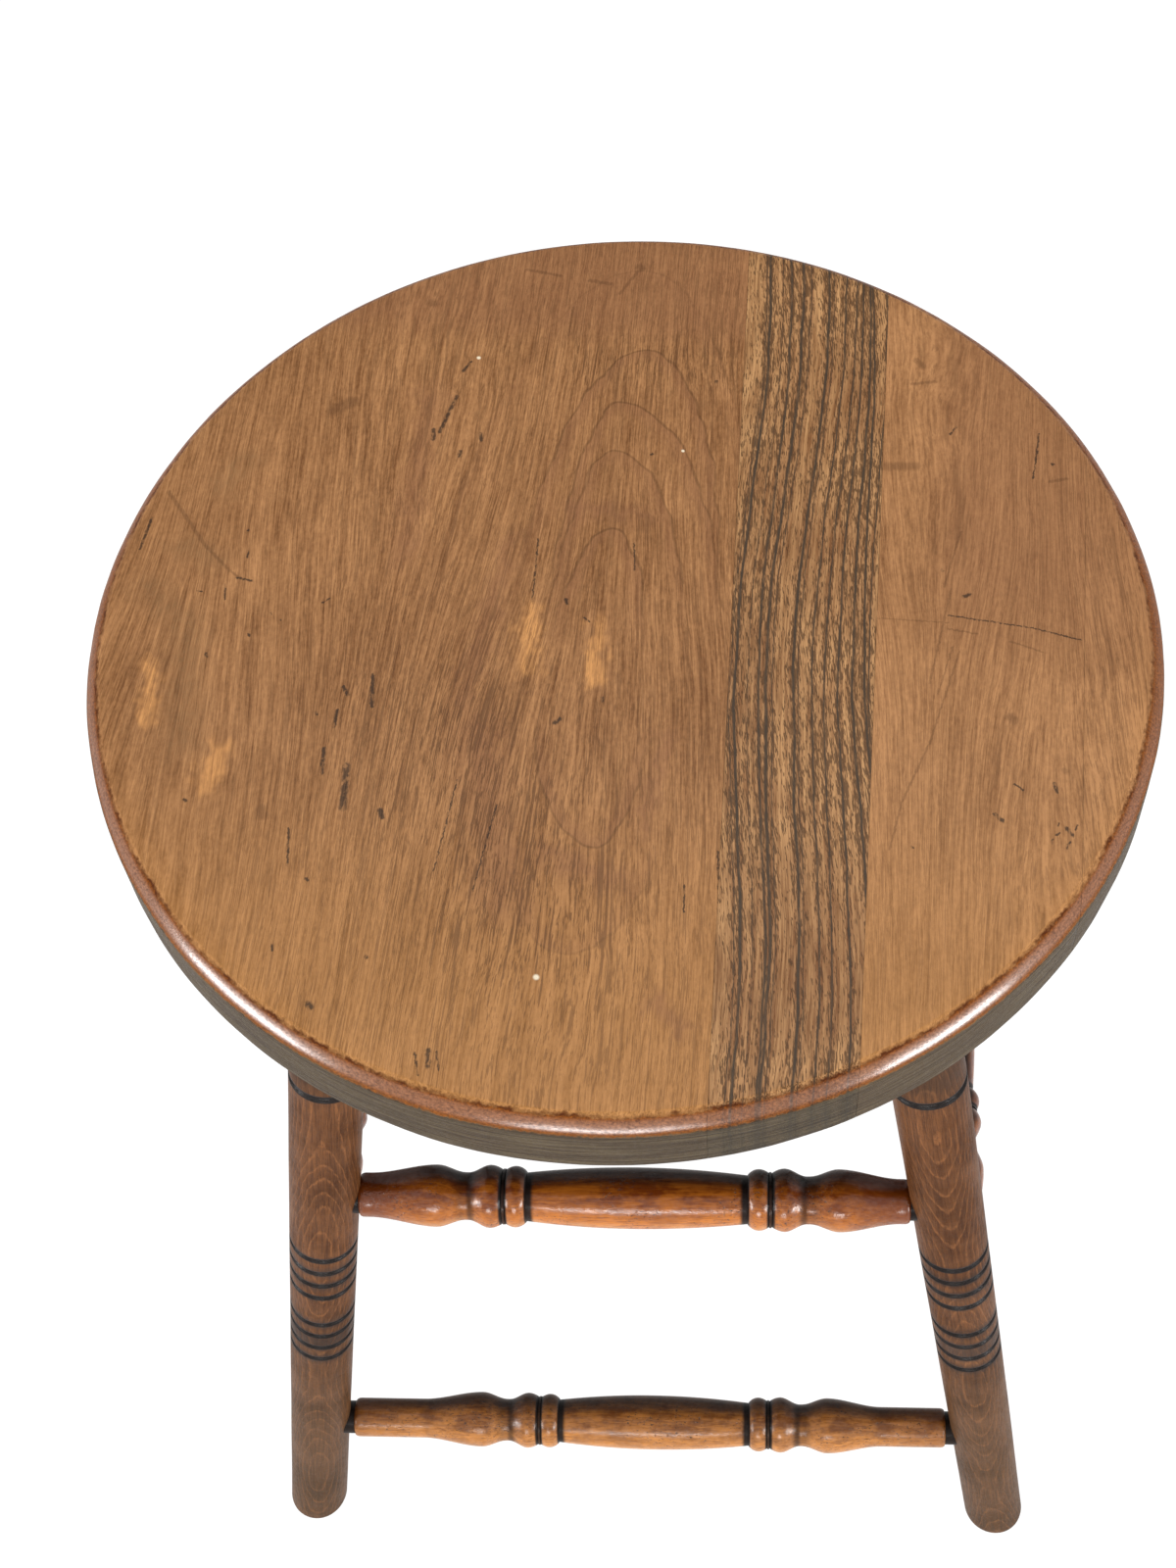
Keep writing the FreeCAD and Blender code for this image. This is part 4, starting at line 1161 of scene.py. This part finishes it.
def stretcher_material(level, finish):
    """Polished turned wood, darker towards the legs, with dirt and painted shade above and in the recesses.
    """
    material, tree, shader = new_material(f"{level}_stretcher_wood")
    light = getattr(finish, f"{level}_light")
    dark = getattr(finish, f"{level}_dark")
    is_upper = level == "upper"
    place = attribute(tree, "wood_place", "Vector")
    rise = attribute(tree, "rise")
    parts = split(place)
    wave = calculate("SINE", divide(parts["Y"], 17.0))
    depth = add(multiply_add(wave, 3.0, 24.0), parts["X"])
    turned = join(parts["Z"], parts["Y"], parts["X"])
    rings = use_group(
        "Growth Rings", place=turned, pith_across=4.0, pith_depth=depth, spacing=3.4, wander=4.0)
    fibres = use_group("Wood Fibres", place=place, width=0.9, length=14.0)
    patches = use_group("Patches", place=place, size=17.0)
    cloudy = soft_range(random_field(stretch(place, 7, 11, 7), 3.0, 0.6), 0.36, 0.6)
    tone = multiply_add(rings["Tone"], 0.2, multiply(fibres["Tone"], 0.3))
    tone = multiply_add(cloudy, 0.4, tone)
    # Painted light and shade: the wood is darker on its upper, inner side and lighter on its lower side
    tone = add(tone, soft_range(rise, 0.7, -0.7, -0.22, 0.35))
    colour = blend(tone, dark, light)
    # Light patches on the lower side only: partly the wood's figure, partly painted light
    under = multiply(soft_range(rise, -0.35, -0.8), soft_range(patches["Patches"], 0.25, 0.6, 0.15, 0.75))
    colour = blend(under, colour, finish.under_light)
    colour = blend(multiply(fibres["Strokes"], 0.55), colour, dark)
    pores = use_group("Open Pores", place=place, width=0.55, length=1.2, amount=0.48)[0]
    speckle = multiply(pores, soft_range(patches["Patches"], 0.65, 0.25))
    colour = blend(multiply(speckle, 0.8), colour, finish.grime)
    # Painted shade with some dirt: the upper, inner side darkens to near black, as if shaded by the seat
    above = soft_range(rise, 0.66, 1.06, 0.0, 0.96 if is_upper else 0.85)
    colour = blend(above, colour, finish.grime)
    near_leg = soft_range(attribute(tree, "end"), 0.0, 1.0, 0.0, 0.85 if is_upper else 0.4)
    colour = blend(near_leg, colour, dark)
    # Dirt in the recesses, and painted shade in a wide halo round the valleys
    black = soft_range(attribute(tree, "recess"), 0.0, 0.4, 0.0, 0.97)
    colour = blend(black, colour, finish.grime)
    # Less polish on the shaded, dirty top and in the recesses
    clean = subtract(1.0, multiply(maximum(above, black), 0.9))
    worn = multiply_add(patches["Mottle"], 0.5, 0.45)
    height = multiply_add(speckle, -0.6, multiply(patches["Mottle"], 0.3))
    normal = bump_normal(height, 0.1)
    fill_sockets(shader.inputs, {
        "Base Color": colour, "Roughness": multiply_add(patches["Mottle"], 0.14, 0.3 if is_upper else 0.38),
        "Specular IOR Level": 0.04, "Coat Weight": multiply(clean, worn),
        "Coat Roughness": 0.24 if is_upper else 0.28, "Coat IOR": 1.6 if is_upper else 1.5,
        "Normal": normal, "Coat Normal": normal})
    return material


# Stage

WHITE, PALE_GREY = (1, 1, 1, 1), (0.86, 0.86, 0.86, 1)
# Lamp name, its side and height in degrees, its width and depth, and the setting that has its power
LAMPS = (
    ("lamp_left", -62, 11, 0.6, 0.15, "side_power"), ("lamp_right", 52, 11, 0.5, 0.15, "side_power"),
    ("lamp_front", -3, 11, 0.6, 0.15, "front_power"), ("lamp_over", 180, 78, 1.0, 1.0, "top_power"),
)
# How far away the lamps are, and the height that they shine at
LAMP_DISTANCE, LAMP_AIM = 1.5, 0.3
# Long side of the camera's sensor, in millimetres
SENSOR = 36.0
# The seat's middle is seen this far right of and above the middle of the image, as shares of its height
SEAT_RIGHT, SEAT_UP = 31.2 / 1600, 161.3 / 1600


def seen_directly(tree):
    """One for rays from the camera and for those that a gloss or glass sends on."""
    rays = tree.nodes.new("ShaderNodeLightPath").outputs
    both = add(rays["Is Camera Ray"], rays["Is Glossy Ray"])
    return calculate("ADD", both, rays["Is Transmission Ray"], clamp=True)


def build_floor(stage):
    """A plain pale floor that looks white and still takes the stool's shadow."""
    builder = bmesh.new()
    bmesh.ops.create_grid(builder, x_segments=8, y_segments=8, size=stage.floor_size / 2)
    mesh = bpy.data.meshes.new("floor")
    builder.to_mesh(mesh)
    builder.free()
    floor = bpy.data.objects.new("floor", mesh)
    bpy.context.scene.collection.objects.link(floor)
    material = bpy.data.materials.new("pale_floor")
    tree = empty_tree(material)
    paint = add_node(tree, "ShaderNodeBsdfDiffuse", {"Color": PALE_GREY})
    glow = add_node(tree, "ShaderNodeEmission", {"Color": WHITE, "Strength": stage.floor_glow})
    share = multiply(seen_directly(tree), stage.glow_share)
    lit = add_node(tree, "ShaderNodeMixShader", {0: share, 1: paint.outputs[0], 2: glow.outputs[0]})
    # Seen from below, the floor is clear
    clear = tree.nodes.new("ShaderNodeBsdfTransparent")
    is_below = tree.nodes.new("ShaderNodeNewGeometry").outputs["Backfacing"]
    both = add_node(tree, "ShaderNodeMixShader", {0: is_below, 1: lit.outputs[0], 2: clear.outputs[0]})
    add_node(tree, "ShaderNodeOutputMaterial", {"Surface": both.outputs[0]})
    mesh.materials.append(material)
    floor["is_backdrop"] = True


def build_sky(stage):
    """White all round: plain white where it is seen, and a little less as light."""
    world = bpy.data.worlds.new("studio_white")
    bpy.context.scene.world = world
    tree = empty_tree(world)
    limits = {"Value": seen_directly(tree), "To Min": stage.sky_strength, "To Max": 1.0}
    strength = add_node(tree, "ShaderNodeMapRange", limits)
    light = add_node(tree, "ShaderNodeBackground", {"Color": WHITE, "Strength": strength.outputs[0]})
    add_node(tree, "ShaderNodeOutputWorld", {"Surface": light.outputs[0]})


def direction_to(side, rise):
    """The direction from the stool to a lamp or camera, from its side and its height as angles."""
    return Vector((math.sin(side) * math.cos(rise), -math.cos(side) * math.cos(rise), math.sin(rise)))


def add_lamp(name, side, rise, width, depth, power):
    """A soft oblong lamp that shines at the stool from a side and a height, both in degrees."""
    lamp = bpy.data.lights.new(name, "AREA")
    lamp.shape = "RECTANGLE"
    lamp.size = width
    lamp.size_y = depth
    lamp.energy = power
    holder = bpy.data.objects.new(name, lamp)
    away = direction_to(math.radians(side), math.radians(rise))
    holder.location = Vector((0, 0, LAMP_AIM)) + away * LAMP_DISTANCE
    holder.rotation_mode = "QUATERNION"
    holder.rotation_quaternion = (-away).to_track_quat("-Z", "Y")
    bpy.context.scene.collection.objects.link(holder)


def build_camera(stage, seat):
    """The camera of the photograph: above the front of the stool, looking down and a little tilted."""
    roll = stage.camera_roll
    back = direction_to(stage.camera_side, stage.camera_rise)
    right = (-back).cross(Vector((0, 0, 1))).normalized()
    down = (-back).cross(right)
    across = right * math.cos(roll) + down * math.sin(roll)
    upward = right * math.sin(roll) - down * math.cos(roll)
    scale = SENSOR / stage.lens * stage.camera_distance
    camera = bpy.data.cameras.new("camera")
    camera.lens = stage.lens
    camera.clip_start = 0.01
    holder = bpy.data.objects.new("camera", camera)
    spot = Vector((0, 0, seat.height)) + back * stage.camera_distance
    spot = spot - across * SEAT_RIGHT * scale - upward * SEAT_UP * scale
    rotation = Matrix((across, upward, back)).transposed().to_4x4()
    holder.matrix_world = Matrix.Translation(spot) @ rotation
    bpy.context.scene.collection.objects.link(holder)
    bpy.context.scene.camera = holder


def build_stage(settings):
    """Floor, sky, lamps and camera."""
    stage = settings.stool_stage
    build_floor(stage)
    build_sky(stage)
    for name, side, rise, width, depth, power in LAMPS:
        add_lamp(name, side, rise, width, depth, getattr(stage, power))
    build_camera(stage, settings.stool_seat)
    bpy.context.scene.view_settings.view_transform = "Standard"


class STOOL_OT_add_stage(bpy.types.Operator):
    """Add the floor, the light and the camera"""
    bl_idname = "stool.add_stage"
    bl_label = "Add Stage"

    def execute(self, context):
        build_stage(context.scene)
        return {"FINISHED"}


class STOOL_OT_add_seat(bpy.types.Operator):
    """Add the seat's four boards"""
    bl_idname = "stool.add_seat"
    bl_label = "Add Seat"

    def execute(self, context):
        build_seat(context.scene.stool_seat, context.scene.stool_finish)
        return {"FINISHED"}


class STOOL_OT_add_legs(bpy.types.Operator):
    """Add the four turned legs"""
    bl_idname = "stool.add_legs"
    bl_label = "Add Legs"

    def execute(self, context):
        build_legs(context.scene, context.scene.stool_finish)
        return {"FINISHED"}


class STOOL_OT_add_stretchers(bpy.types.Operator):
    """Add the six turned stretchers"""
    bl_idname = "stool.add_stretchers"
    bl_label = "Add Stretchers"

    def execute(self, context):
        build_stretchers(context.scene, context.scene.stool_finish)
        return {"FINISHED"}


class STOOL_PT_sidebar(bpy.types.Panel):
    """Sizes, colours and pieces of the stool"""
    bl_idname = "STOOL_PT_sidebar"
    bl_label = "Round Wooden Stool"
    bl_space_type = "VIEW_3D"
    bl_region_type = "UI"
    bl_category = "Stool"

    def draw(self, context):
        for name in ("stool_stage", "stool_seat", "stool_legs", "stool_stretchers", "stool_finish"):
            settings = getattr(context.scene, name)
            box = self.layout.box()
            for key in settings.__annotations__:
                box.prop(settings, key)
        for operator in OPERATORS:
            self.layout.operator(operator.bl_idname)


OPERATORS = (STOOL_OT_add_stage, STOOL_OT_add_seat, STOOL_OT_add_legs, STOOL_OT_add_stretchers)
SETTINGS = {
    "stool_stage": StoolStageSettings,
    "stool_seat": StoolSeatSettings,
    "stool_legs": StoolLegSettings,
    "stool_stretchers": StoolStretcherSettings,
    "stool_finish": StoolFinishSettings,
}


def register():
    for name, group in SETTINGS.items():
        bpy.utils.register_class(group)
        setattr(bpy.types.Scene, name, bpy.props.PointerProperty(type=group))
    for operator in OPERATORS:
        bpy.utils.register_class(operator)
    bpy.utils.register_class(STOOL_PT_sidebar)


def unregister():
    bpy.utils.unregister_class(STOOL_PT_sidebar)
    for operator in reversed(OPERATORS):
        bpy.utils.unregister_class(operator)
    for name, group in reversed(SETTINGS.items()):
        delattr(bpy.types.Scene, name)
        bpy.utils.unregister_class(group)


def main():
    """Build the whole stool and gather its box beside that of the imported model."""
    register()
    for name, describe in GROUPS.items():
        make_group(name, describe)
    bpy.ops.stool.add_stage()
    bpy.ops.stool.add_seat()
    bpy.ops.stool.add_legs()
    bpy.ops.stool.add_stretchers()
    boxes = {"cad": [list(corner) for corner in CAD_BOUNDS],
             "scene": [list(corner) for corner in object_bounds()]}


if __name__ == "__main__":
    main()
